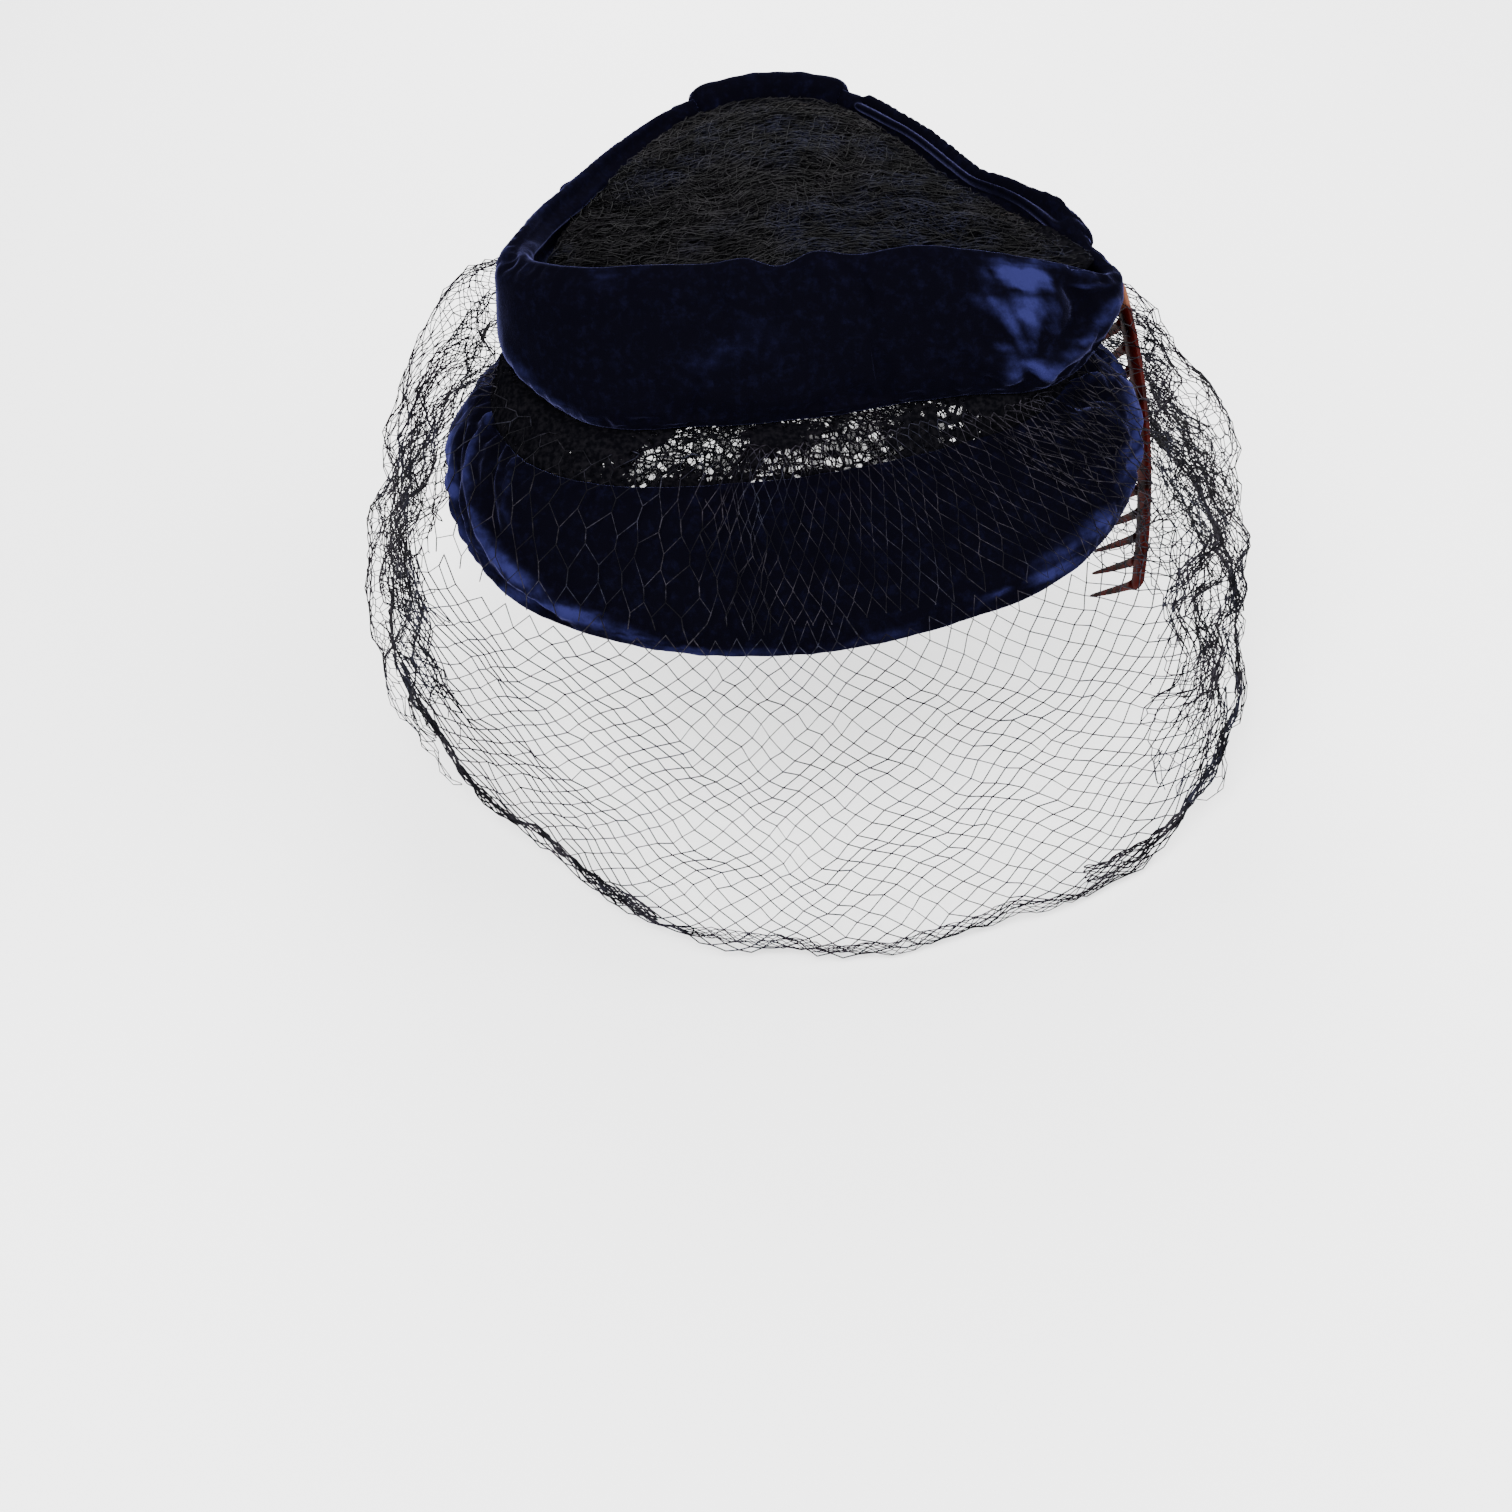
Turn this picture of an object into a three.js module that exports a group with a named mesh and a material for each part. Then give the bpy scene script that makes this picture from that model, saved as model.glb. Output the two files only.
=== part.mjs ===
import * as THREE from 'three';

// A velvet cocktail half-hat: two padded velvet bands, a net crown, a face veil and a side comb.
// Millimetres. +Z is up, -Y is where the wearer's face points, +X is the wearer's left.
// The origin is the top of the wearer's head, where the crown net rests on it.

// Driving dimensions
const stationCount = 60;      // cross-sections round each closed band
const bandAxisY = -15;        // reach is measured outwards from the upright line through this Y
const sewnGap = 0.3;          // air between pieces that are sewn to each other
const pleatCount = 3;
const pleatDepth = 0.16;      // as a share of the band's thickness
const knotStart = 162;        // the back knot covers the band between these turns
const knotEnd = 192;
const knotWall = 2.4;
const knotGap = 0.4;          // between the knot and the band it wraps

const netThickness = 1.2;
const netHubZ = 1.5;          // the top of the crown net, on the bands' axis
const netDomeRadius = 1500;
const netWallGap = 1.2;       // between the crown net and the upper band's inner wall
const netShoulder = 1.5;      // how much narrower its flat top is than its foot
const netFootDrop = 0.9;      // how far it passes below the upper band's lower edge
const netUnderDrop = 0.4;     // how much lower still it runs under that edge
const netFootInset = 7;       // how far its foot stays inside the brim's upper edge, and its bend
const netUnderInset = 2;

const veilColumns = 16;       // meshes of the veil net from its left end to its right end
const veilFallRows = 5;       // rows of half meshes between its edge and its hem
const veilStrand = 3.4;
const veilThickness = 1.2;
const veilSeatShare = 0.3;    // where it starts on the crown net, from that net's bend to its rim
const veilSeatGap = 0.95;
const veilRollGap = 1.2;      // between the veil and the brim's rolled upper edge

const combLength = 72;
const combThickness = 2.2;
const combSpineHeight = 9;
const combEndDrop = 0.6;      // how far the spine's rounded ends drop, as a share of its height
const combBend = 130;         // radius of the spine's curve round the head
const combTeeth = 13;
const combToothLength = 30;
const combToothBend = 160;    // radius of the teeth's curve

// Closed tables, by turn in degrees from the front towards +X.
// Each row gives a band's upper and lower edge by reach and height, and its padded thickness.
const brimRows = [
  { turn: 0, upperReach: 53.5, upperZ: -25, lowerReach: 80.5, lowerZ: -53, thick: 7.5 },
  { turn: 22, upperReach: 54.5, upperZ: -25, lowerReach: 82, lowerZ: -52.5, thick: 7.5 },
  { turn: 40, upperReach: 60, upperZ: -25, lowerReach: 87.5, lowerZ: -50.5, thick: 7.5 },
  { turn: 54, upperReach: 66.5, upperZ: -25, lowerReach: 89.5, lowerZ: -47.5, thick: 7.5 },
  { turn: 68, upperReach: 70.5, upperZ: -25.5, lowerReach: 87.5, lowerZ: -43, thick: 7.5 },
  { turn: 82, upperReach: 69, upperZ: -26, lowerReach: 82, lowerZ: -39, thick: 7.5 },
  { turn: 100, upperReach: 62, upperZ: -26.5, lowerReach: 72, lowerZ: -36.5, thick: 7 },
  { turn: 125, upperReach: 56, upperZ: -27, lowerReach: 64, lowerZ: -36, thick: 6.5 },
  { turn: 150, upperReach: 60, upperZ: -28, lowerReach: 67, lowerZ: -37, thick: 6.5 },
  { turn: 180, upperReach: 67, upperZ: -29, lowerReach: 74, lowerZ: -38, thick: 6.5 },
  { turn: 210, upperReach: 60, upperZ: -28, lowerReach: 67, lowerZ: -37, thick: 6.5 },
  { turn: 235, upperReach: 56, upperZ: -27, lowerReach: 64, lowerZ: -36, thick: 6.5 },
  { turn: 260, upperReach: 61.5, upperZ: -26.5, lowerReach: 71, lowerZ: -36.5, thick: 7 },
  { turn: 278, upperReach: 69, upperZ: -26, lowerReach: 80, lowerZ: -39, thick: 7.5 },
  { turn: 292, upperReach: 71.5, upperZ: -25.5, lowerReach: 85, lowerZ: -43, thick: 7.5 },
  { turn: 306, upperReach: 71, upperZ: -25, lowerReach: 87.5, lowerZ: -47.5, thick: 7.5 },
  { turn: 320, upperReach: 65.5, upperZ: -25, lowerReach: 86.5, lowerZ: -50.5, thick: 7.5 },
  { turn: 338, upperReach: 57.5, upperZ: -25, lowerReach: 82, lowerZ: -52.5, thick: 7.5 },
];

// The upper band leans back at the front, is pinched to a point at turn 73 and pleated behind it
const upperBandRows = [
  { turn: 0, upperReach: 29, upperZ: 13.5, lowerReach: 43, lowerZ: -17, thick: 6, pleat: 0 },
  { turn: 16, upperReach: 29.5, upperZ: 16, lowerReach: 44, lowerZ: -17, thick: 6, pleat: 0 },
  { turn: 32, upperReach: 34, upperZ: 14.5, lowerReach: 47.5, lowerZ: -17, thick: 6, pleat: 0 },
  { turn: 46, upperReach: 43, upperZ: 16, lowerReach: 56.5, lowerZ: -17, thick: 6, pleat: 0 },
  { turn: 57, upperReach: 56, upperZ: 13, lowerReach: 70, lowerZ: -17.5, thick: 5, pleat: 0 },
  { turn: 65, upperReach: 67, upperZ: 7.5, lowerReach: 76, lowerZ: -14, thick: 5.5, pleat: 0 },
  { turn: 73, upperReach: 77.5, upperZ: 0.5, lowerReach: 78.5, lowerZ: -8, thick: 4.5, pleat: 0 },
  { turn: 81, upperReach: 70.5, upperZ: 2, lowerReach: 70.5, lowerZ: -11, thick: 6, pleat: 0.5 },
  { turn: 94, upperReach: 60, upperZ: 6, lowerReach: 60.5, lowerZ: -15, thick: 9, pleat: 1 },
  { turn: 112, upperReach: 53, upperZ: 4.5, lowerReach: 54, lowerZ: -17, thick: 8, pleat: 1 },
  { turn: 145, upperReach: 60, upperZ: 5, lowerReach: 60, lowerZ: -18, thick: 7.5, pleat: 1 },
  { turn: 163, upperReach: 70, upperZ: 5, lowerReach: 70, lowerZ: -19, thick: 7, pleat: 0.2 },
  { turn: 177, upperReach: 73, upperZ: 5, lowerReach: 73, lowerZ: -19, thick: 7, pleat: 0 },
  { turn: 193, upperReach: 69, upperZ: 5, lowerReach: 69.5, lowerZ: -19, thick: 7, pleat: 0 },
  { turn: 215, upperReach: 58.5, upperZ: 5, lowerReach: 59, lowerZ: -18, thick: 7, pleat: 0 },
  { turn: 240, upperReach: 52.5, upperZ: 7, lowerReach: 54, lowerZ: -17, thick: 7, pleat: 0 },
  { turn: 262, upperReach: 54.5, upperZ: 9, lowerReach: 57, lowerZ: -16, thick: 7, pleat: 0 },
  { turn: 283, upperReach: 57.5, upperZ: 12, lowerReach: 62, lowerZ: -16, thick: 8, pleat: 0 },
  { turn: 300, upperReach: 50, upperZ: 15, lowerReach: 60, lowerZ: -17, thick: 6.5, pleat: 0 },
  { turn: 315, upperReach: 40, upperZ: 16, lowerReach: 56.5, lowerZ: -17, thick: 6, pleat: 0 },
  { turn: 333, upperReach: 31.5, upperZ: 15, lowerReach: 47.5, lowerZ: -17, thick: 6, pleat: 0 },
  { turn: 346, upperReach: 30, upperZ: 16, lowerReach: 44.5, lowerZ: -17, thick: 6, pleat: 0 },
];

// The veil's top by turn: how far it is lifted behind the brim's upper edge, and its crest
const veilTopRows = [
  { turn: -125, lift: 8, crestReach: 70, crestZ: -10 },
  { turn: -104, lift: 8, crestReach: 75, crestZ: -11 },
  { turn: -82, lift: 6, crestReach: 78, crestZ: -15 },
  { turn: -64, lift: 2, crestReach: 83, crestZ: -26 },
  { turn: -47, lift: 1, crestReach: 83, crestZ: -31 },
  { turn: -28, lift: 0.5, crestReach: 76, crestZ: -33.5 },
  { turn: 0, lift: 0.5, crestReach: 72, crestZ: -34 },
  { turn: 26, lift: 0.5, crestReach: 75.5, crestZ: -33.5 },
  { turn: 44, lift: 0.5, crestReach: 82, crestZ: -33 },
  { turn: 62, lift: 0.5, crestReach: 85, crestZ: -30 },
  { turn: 82, lift: 3, crestReach: 81, crestZ: -20 },
  { turn: 102, lift: 6, crestReach: 76, crestZ: -14 },
  { turn: 120, lift: 7, crestReach: 70, crestZ: -11.5 },
];

// Its fall by turn: the edge where it turns down, its hem, and how far it billows between them
const veilFallTable = [
  { turn: -125, edgeReach: 77, edgeZ: -20, hemReach: 98, hemZ: -79, billow: 3 },
  { turn: -104, edgeReach: 83, edgeZ: -23, hemReach: 105, hemZ: -93, billow: 4 },
  { turn: -82, edgeReach: 91, edgeZ: -30, hemReach: 107, hemZ: -106, billow: 5 },
  { turn: -64, edgeReach: 97, edgeZ: -40, hemReach: 99, hemZ: -119, billow: 5 },
  { turn: -47, edgeReach: 96, edgeZ: -48, hemReach: 95, hemZ: -125, billow: 2 },
  { turn: -28, edgeReach: 91, edgeZ: -53, hemReach: 99, hemZ: -129, billow: 0 },
  { turn: 0, edgeReach: 88, edgeZ: -54, hemReach: 103, hemZ: -131, billow: 0 },
  { turn: 26, edgeReach: 91, edgeZ: -52.5, hemReach: 107, hemZ: -130, billow: 0 },
  { turn: 44, edgeReach: 96, edgeZ: -49, hemReach: 115, hemZ: -130, billow: 2 },
  { turn: 62, edgeReach: 97, edgeZ: -43.5, hemReach: 118, hemZ: -122, billow: 5 },
  { turn: 82, edgeReach: 95, edgeZ: -32.5, hemReach: 117, hemZ: -107, billow: 6 },
  { turn: 102, edgeReach: 87, edgeZ: -25.5, hemReach: 112, hemZ: -95, billow: 5 },
  { turn: 120, edgeReach: 79, edgeZ: -22, hemReach: 105, hemZ: -83, billow: 4 },
];

// A band cut across, from its upper edge (0) to its lower edge (1): its share of the full thickness
const brimSection = [
  { along: 0, thick: 0.4 },
  { along: 0.04, thick: 0.75 },
  { along: 0.14, thick: 0.85 },
  { along: 0.5, thick: 0.7 },
  { along: 0.78, thick: 0.72 },
  { along: 0.87, thick: 1 },
  { along: 0.95, thick: 0.95 },
  { along: 1, thick: 0.5 },
];
const upperBandSection = [
  { along: 0, thick: 0.4 },
  { along: 0.05, thick: 0.85 },
  { along: 0.16, thick: 1 },
  { along: 0.33, thick: 0.85 },
  { along: 0.5, thick: 0.95 },
  { along: 0.67, thick: 0.82 },
  { along: 0.84, thick: 1 },
  { along: 0.95, thick: 0.85 },
  { along: 1, thick: 0.4 },
];
const combToothLevels = [
  { down: 0.12, width: 0.8 },
  { down: 0.6, width: 0.62 },
  { down: 1, width: 0.3 },
];

// Materials
const velvet = { color: 0x0b1038, roughness: 0.95, metalness: 0 };
const blackNet = { color: 0x17171c, roughness: 0.9, metalness: 0 };
const tortoiseshell = { color: 0x5a1e12, roughness: 0.3, metalness: 0 };

// ---- tables and places

function smoothTable(rows) {
  const columns = Object.keys(rows[0]).filter((name) => name !== 'turn');
  const turns = rows.map((row) => row.turn);
  const values = rows.flatMap((row) => columns.map((name) => row[name]));
  const spline = new THREE.CubicInterpolant(turns, values, columns.length);
  return (turn) => {
    const found = spline.evaluate(turn);
    return Object.fromEntries(columns.map((name, index) => [name, found[index]]));
  };
}

function closedTable(rows) {
  const laps = [-360, 0, 360];
  return smoothTable(laps.flatMap((lap) => rows.map((row) => ({ ...row, turn: row.turn + lap }))));
}

function place(turn, reach, z) {
  const angle = THREE.MathUtils.degToRad(turn);
  return new THREE.Vector3(reach * Math.sin(angle), bandAxisY - reach * Math.cos(angle), z);
}

// The comb's frame: the middle of its spine, the way to its front end and the way its teeth point
const combPlace = { middle: new THREE.Vector3(85.4, -40, -43) };
combPlace.forward = new THREE.Vector3(-0.03, -0.71, -0.7).normalize();
combPlace.outward = new THREE.Vector3(0.998, -0.01, -0.06).normalize();
combPlace.teeth = new THREE.Vector3().crossVectors(combPlace.outward, combPlace.forward).normalize();

const brimAt = closedTable(brimRows);
const upperBandAt = closedTable(upperBandRows);
const veilTopAt = smoothTable(veilTopRows);
const veilFallAt = smoothTable(veilFallTable);

// A band's frame at one turn: its two edges, the way down its width and the way out of its face
function bandFrame(bandAt, turn) {
  const row = bandAt(turn);
  const upper = place(turn, row.upperReach, row.upperZ);
  const lower = place(turn, row.lowerReach, row.lowerZ);
  const step = 1;
  const before = bandAt(turn - step);
  const after = bandAt(turn + step);
  const middle = (at, angle) => place(angle, at.upperReach, at.upperZ)
    .lerp(place(angle, at.lowerReach, at.lowerZ), 0.5);
  const forward = middle(after, turn + step).sub(middle(before, turn - step)).normalize();
  const down = lower.clone().sub(upper).normalize();
  const outward = new THREE.Vector3().crossVectors(down, forward).normalize();
  return { ...row, upper, lower, down, outward };
}

// ---- solids

// Loops of points swept into one closed solid. Each loop holds the same number of points.
class LoopSolid {
  constructor() {
    this.points = [];
    this.faces = [];
  }

  add(points) {
    const first = this.points.length;
    this.points.push(...points);
    return points.map((_, index) => first + index);
  }

  quad(a, b, c, d) {
    this.faces.push([a, b, c], [a, c, d]);
  }

  bridge(loop, nextLoop, closed = true) {
    const sides = closed ? loop.length : loop.length - 1;
    for (let side = 0; side < sides; side += 1) {
      const next = (side + 1) % loop.length;
      this.quad(loop[side], loop[next], nextLoop[next], nextLoop[side]);
    }
  }

  // Faces out whichever way round the loops were given
  geometry() {
    const corner = (index) => this.points[index];
    const volume = this.faces.reduce((sum, [a, b, c]) => (
      sum + corner(a).dot(new THREE.Vector3().crossVectors(corner(b), corner(c)))
    ), 0);
    const faces = volume > 0 ? this.faces : this.faces.map(([a, b, c]) => [a, c, b]);
    const geometry = new THREE.BufferGeometry().setFromPoints(this.points);
    geometry.setIndex(faces.flat());
    geometry.computeVertexNormals();
    return geometry;
  }
}

function stationTurns() {
  return Array.from({ length: stationCount }, (_, index) => (index * 360) / stationCount);
}

function bandSection(frame, profile, extraThickness = 0) {
  const side = (row, sign) => {
    const pleats = (frame.pleat ?? 0) * pleatDepth * Math.cos(2 * Math.PI * pleatCount * row.along);
    const half = (frame.thick * row.thick * (1 + pleats)) / 2 + extraThickness;
    const middle = frame.upper.clone().lerp(frame.lower, row.along);
    const beyond = extraThickness * (2 * row.along - 1);
    return middle.addScaledVector(frame.outward, sign * half).addScaledVector(frame.down, beyond);
  };
  const outer = profile.map((row) => side(row, 1));
  const inner = profile.map((row) => side(row, -1)).reverse();
  return [...outer, ...inner];
}

function bandGeometry(bandAt, profile) {
  const solid = new LoopSolid();
  const loops = stationTurns().map((turn) => solid.add(bandSection(bandFrame(bandAt, turn), profile)));
  loops.forEach((loop, index) => solid.bridge(loop, loops[(index + 1) % loops.length]));
  return solid.geometry();
}

// The wrap over the back seam: a sleeve round the upper band, on the band's own stations
function knotGeometry() {
  const solid = new LoopSolid();
  const turns = stationTurns().filter((turn) => turn >= knotStart && turn <= knotEnd);
  const skins = turns.map((turn) => {
    const frame = bandFrame(upperBandAt, turn);
    return {
      outer: solid.add(bandSection(frame, upperBandSection, knotGap + knotWall)),
      inner: solid.add(bandSection(frame, upperBandSection, knotGap)),
    };
  });
  skins.slice(1).forEach((skin, index) => {
    solid.bridge(skins[index].outer, skin.outer);
    solid.bridge(skin.inner, skins[index].inner);
  });
  const last = skins[skins.length - 1];
  solid.bridge(skins[0].inner, skins[0].outer);
  solid.bridge(last.outer, last.inner);
  return solid.geometry();
}

// The crown net's path at one turn, along its top: flat inside the upper band, down its inner wall,
// under it and out to the brim's upper edge
function crownNetPath(turn) {
  const band = upperBandAt(turn);
  const brim = bandFrame(brimAt, turn);
  const levelShare = (netHubZ - band.lowerZ) / (band.upperZ - band.lowerZ);
  const levelReach = THREE.MathUtils.lerp(band.lowerReach, band.upperReach, levelShare);
  const clearOfWall = (band.thick * (1 + band.pleat * pleatDepth)) / 2 + netWallGap;
  const innermost = Math.min(levelReach, band.lowerReach) - clearOfWall;
  const foot = Math.min(band.lowerReach - clearOfWall, brim.upperReach - netFootInset);
  const under = Math.min(band.lowerReach + band.thick / 2, brim.upperReach - netUnderInset);
  const shoulder = Math.min(innermost, foot) - netShoulder;
  const domeZ = (reach) => netHubZ - (reach * reach) / (2 * netDomeRadius);
  const footZ = band.lowerZ - netFootDrop;
  const middle = brim.upper.clone().addScaledVector(brim.down, -sewnGap);
  return {
    crown: place(turn, shoulder / 2, domeZ(shoulder / 2)),
    shoulder: place(turn, shoulder, domeZ(shoulder)),
    foot: place(turn, foot, footZ),
    under: place(turn, under, footZ - netUnderDrop),
    rim: middle.addScaledVector(brim.outward, netThickness / 2),
    brim,
  };
}

function crownNetGeometry() {
  const thick = netThickness;
  const solid = new LoopSolid();
  const sections = stationTurns().map((turn) => {
    const path = crownNetPath(turn);
    const inward = place(turn, -1, 0).sub(place(turn, 0, 0));
    const below = (point, side) => point.clone()
      .addScaledVector(inward, side * thick)
      .setZ(point.z - thick);
    const top = [path.crown, path.shoulder, path.foot, path.under, path.rim];
    const low = [
      below(path.crown, 0),
      below(path.shoulder, 1),
      below(path.foot, 1),
      below(path.under, 0.4),
      path.rim.clone().addScaledVector(path.brim.outward, -thick),
    ];
    return { top: solid.add(top), low: solid.add(low) };
  });
  const [hubTop] = solid.add([new THREE.Vector3(0, bandAxisY, netHubZ)]);
  const [hubLow] = solid.add([new THREE.Vector3(0, bandAxisY, netHubZ - thick)]);
  sections.forEach((section, index) => {
    const next = sections[(index + 1) % sections.length];
    const rim = section.top.length - 1;
    solid.bridge(section.top, next.top, false);
    solid.bridge(next.low, section.low, false);
    solid.faces.push([hubTop, section.top[0], next.top[0]]);
    solid.faces.push([hubLow, next.low[0], section.low[0]]);
    solid.quad(next.low[rim], next.top[rim], section.top[rim], section.low[rim]);
  });
  return solid.geometry();
}

// ---- the veil

// The veil's inner face at one turn, from its seat on the crown net over the brim to its hem
function veilPath(turn) {
  const top = veilTopAt(turn);
  const fall = veilFallAt(turn);
  const { under, rim, brim } = crownNetPath(turn);
  const clear = brim.thick / 2 + veilRollGap;
  const across = place(turn + 90, 1, 0).sub(place(turn + 90, 0, 0));
  const netOutward = rim.clone().sub(under).cross(across).normalize();
  const path = [
    under.clone().lerp(rim, veilSeatShare).addScaledVector(netOutward, veilSeatGap),
    brim.upper.clone().addScaledVector(brim.outward, clear),
    place(turn, top.crestReach, top.crestZ),
  ];
  path[1].z += top.lift;
  for (let row = 0; row <= veilFallRows; row += 1) {
    const share = row / veilFallRows;
    const reach = THREE.MathUtils.lerp(fall.edgeReach, fall.hemReach, share);
    const z = THREE.MathUtils.lerp(fall.edgeZ, fall.hemZ, share);
    path.push(place(turn, reach + fall.billow * Math.sin(Math.PI * share), z));
  }
  return path;
}

// Diamond meshes: knots lie on every second crossing of the columns' half-steps and the rows
function veilGeometry() {
  const firstTurn = veilTopRows[0].turn;
  const lastTurn = veilTopRows[veilTopRows.length - 1].turn;
  const halfSteps = 2 * veilColumns;
  const rows = veilPath(firstTurn).length - 1;
  const inside = (column, row) => {
    const path = veilPath(THREE.MathUtils.lerp(firstTurn, lastTurn, column / halfSteps));
    const above = Math.min(Math.floor(row), rows - 1);
    return path[above].clone().lerp(path[above + 1], row - above);
  };
  const outwardAt = (column, row) => {
    const step = 0.5;
    const right = inside(Math.min(column + step, halfSteps), row);
    const left = inside(Math.max(column - step, 0), row);
    const below = inside(column, Math.min(row + step, rows));
    const above = inside(column, Math.max(row - step, 0));
    return below.sub(above).cross(right.sub(left)).normalize();
  };
  const solid = new LoopSolid();
  const knots = new Map();
  const knot = (column, row) => {
    const key = `${column},${row}`;
    if (!knots.has(key)) {
      const point = inside(column, row);
      const outside = point.clone().addScaledVector(outwardAt(column, row), veilThickness);
      const [low, top] = solid.add([point, outside]);
      knots.set(key, { low, top });
    }
    return knots.get(key);
  };
  const openSides = new Map();
  for (let row = 1; row < rows; row += 1) {
    for (let column = 1 + (row % 2); column < halfSteps; column += 2) {
      const ways = [[-1, 0], [0, 1], [1, 0], [0, -1]];
      const corners = ways.map(([across, down]) => knot(column + across, row + down));
      const halfWidth = inside(column + 1, row).distanceTo(inside(column - 1, row)) / 2;
      const halfHeight = inside(column, row + 1).distanceTo(inside(column, row - 1)) / 2;
      const sideDistance = (halfWidth * halfHeight) / Math.hypot(halfWidth, halfHeight);
      const open = 1 - veilStrand / 2 / sideDistance;
      const hole = ways.map(([across, down]) => knot(column + open * across, row + open * down));
      corners.forEach((corner, index) => {
        const next = (index + 1) % corners.length;
        const nextCorner = corners[next];
        solid.quad(corner.top, nextCorner.top, hole[next].top, hole[index].top);
        solid.quad(nextCorner.low, corner.low, hole[index].low, hole[next].low);
        solid.quad(hole[index].top, hole[next].top, hole[next].low, hole[index].low);
        const twin = `${nextCorner.top},${corner.top}`;
        if (!openSides.delete(twin)) {
          openSides.set(`${corner.top},${nextCorner.top}`, [corner, nextCorner]);
        }
      });
    }
  }
  openSides.forEach(([corner, nextCorner]) => {
    solid.quad(nextCorner.top, corner.top, corner.low, nextCorner.low);
  });
  return solid.geometry();
}

// ---- the comb

// A point of the comb: along its curved spine, down its teeth and out of its face
function combPoint(along, down, out) {
  const sag = (along * along) / (2 * combBend) + (down * down) / (2 * combToothBend);
  return combPlace.middle.clone()
    .addScaledVector(combPlace.forward, along)
    .addScaledVector(combPlace.teeth, down)
    .addScaledVector(combPlace.outward, out - sag);
}

function combGeometry() {
  const solid = new LoopSolid();
  const steps = 2 * combTeeth - 1;
  const stationAt = (index) => combLength * (index / steps - 0.5);
  const half = combThickness / 2;
  const endDrop = (along) => {
    const share = along / (combLength / 2);
    return combEndDrop * combSpineHeight * (1 - Math.sqrt(Math.max(1 - share ** 2, 0)));
  };
  const section = (along, down, thinner = 1) => [
    combPoint(along, down, half * thinner),
    combPoint(along, down, -half * thinner),
  ];
  const stations = Array.from({ length: steps + 1 }, (_, index) => {
    const along = stationAt(index);
    const [topOut, topIn] = solid.add(section(along, endDrop(along)));
    const [lowOut, lowIn] = solid.add(section(along, combSpineHeight));
    return { along, loop: [topOut, topIn, lowIn, lowOut] };
  });
  stations.slice(1).forEach((station, index) => {
    const previous = stations[index];
    const loops = [previous.loop, station.loop];
    const isTooth = index % 2 === 0;
    for (const side of isTooth ? [0, 1, 3] : [0, 1, 2, 3]) {
      const next = (side + 1) % 4;
      solid.quad(loops[0][side], loops[0][next], loops[1][next], loops[1][side]);
    }
    if (isTooth) {
      const middle = (previous.along + station.along) / 2;
      const width = station.along - previous.along;
      let ring = [previous.loop[2], previous.loop[3], station.loop[3], station.loop[2]];
      for (const level of combToothLevels) {
        const down = combSpineHeight + level.down * combToothLength;
        const [backOut, backIn] = section(middle - (width * level.width) / 2, down, level.width);
        const [frontOut, frontIn] = section(middle + (width * level.width) / 2, down, level.width);
        const nextRing = solid.add([backIn, backOut, frontOut, frontIn]);
        solid.bridge(ring, nextRing);
        ring = nextRing;
      }
      solid.quad(...ring);
    }
  });
  solid.quad(...stations[0].loop.slice().reverse());
  solid.quad(...stations[steps].loop);
  return solid.geometry();
}

// ---- the hat

function part(name, geometry, finish) {
  const mesh = new THREE.Mesh(geometry, new THREE.MeshStandardMaterial(finish));
  mesh.name = name;
  return mesh;
}

const hat = new THREE.Group();
hat.add(part('brim_band', bandGeometry(brimAt, brimSection), velvet));
hat.add(part('upper_band', bandGeometry(upperBandAt, upperBandSection), velvet));
hat.add(part('back_knot', knotGeometry(), velvet));
hat.add(part('crown_net', crownNetGeometry(), blackNet));
hat.add(part('veil', veilGeometry(), blackNet));
hat.add(part('side_comb', combGeometry(), tortoiseshell));

export default hat;
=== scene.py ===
import math

import bpy
import numpy as np
from mathutils import Matrix, Vector, noise


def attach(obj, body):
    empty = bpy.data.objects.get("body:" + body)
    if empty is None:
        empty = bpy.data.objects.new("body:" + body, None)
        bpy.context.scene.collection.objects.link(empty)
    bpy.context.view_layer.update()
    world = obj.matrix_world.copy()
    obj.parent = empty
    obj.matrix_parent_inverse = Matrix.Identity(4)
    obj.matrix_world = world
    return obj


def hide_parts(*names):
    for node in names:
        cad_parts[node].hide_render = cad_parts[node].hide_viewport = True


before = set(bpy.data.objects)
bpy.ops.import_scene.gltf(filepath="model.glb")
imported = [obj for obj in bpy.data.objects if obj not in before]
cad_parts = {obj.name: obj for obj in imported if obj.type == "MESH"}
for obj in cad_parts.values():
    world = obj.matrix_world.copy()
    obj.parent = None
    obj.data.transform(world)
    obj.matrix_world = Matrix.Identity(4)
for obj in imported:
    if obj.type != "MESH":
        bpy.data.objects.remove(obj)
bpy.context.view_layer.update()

mm = 0.001  # every size below is in millimetres
bandAxisY = -15  # reach is measured outwards from the upright line through this Y


# tables and places

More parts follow.
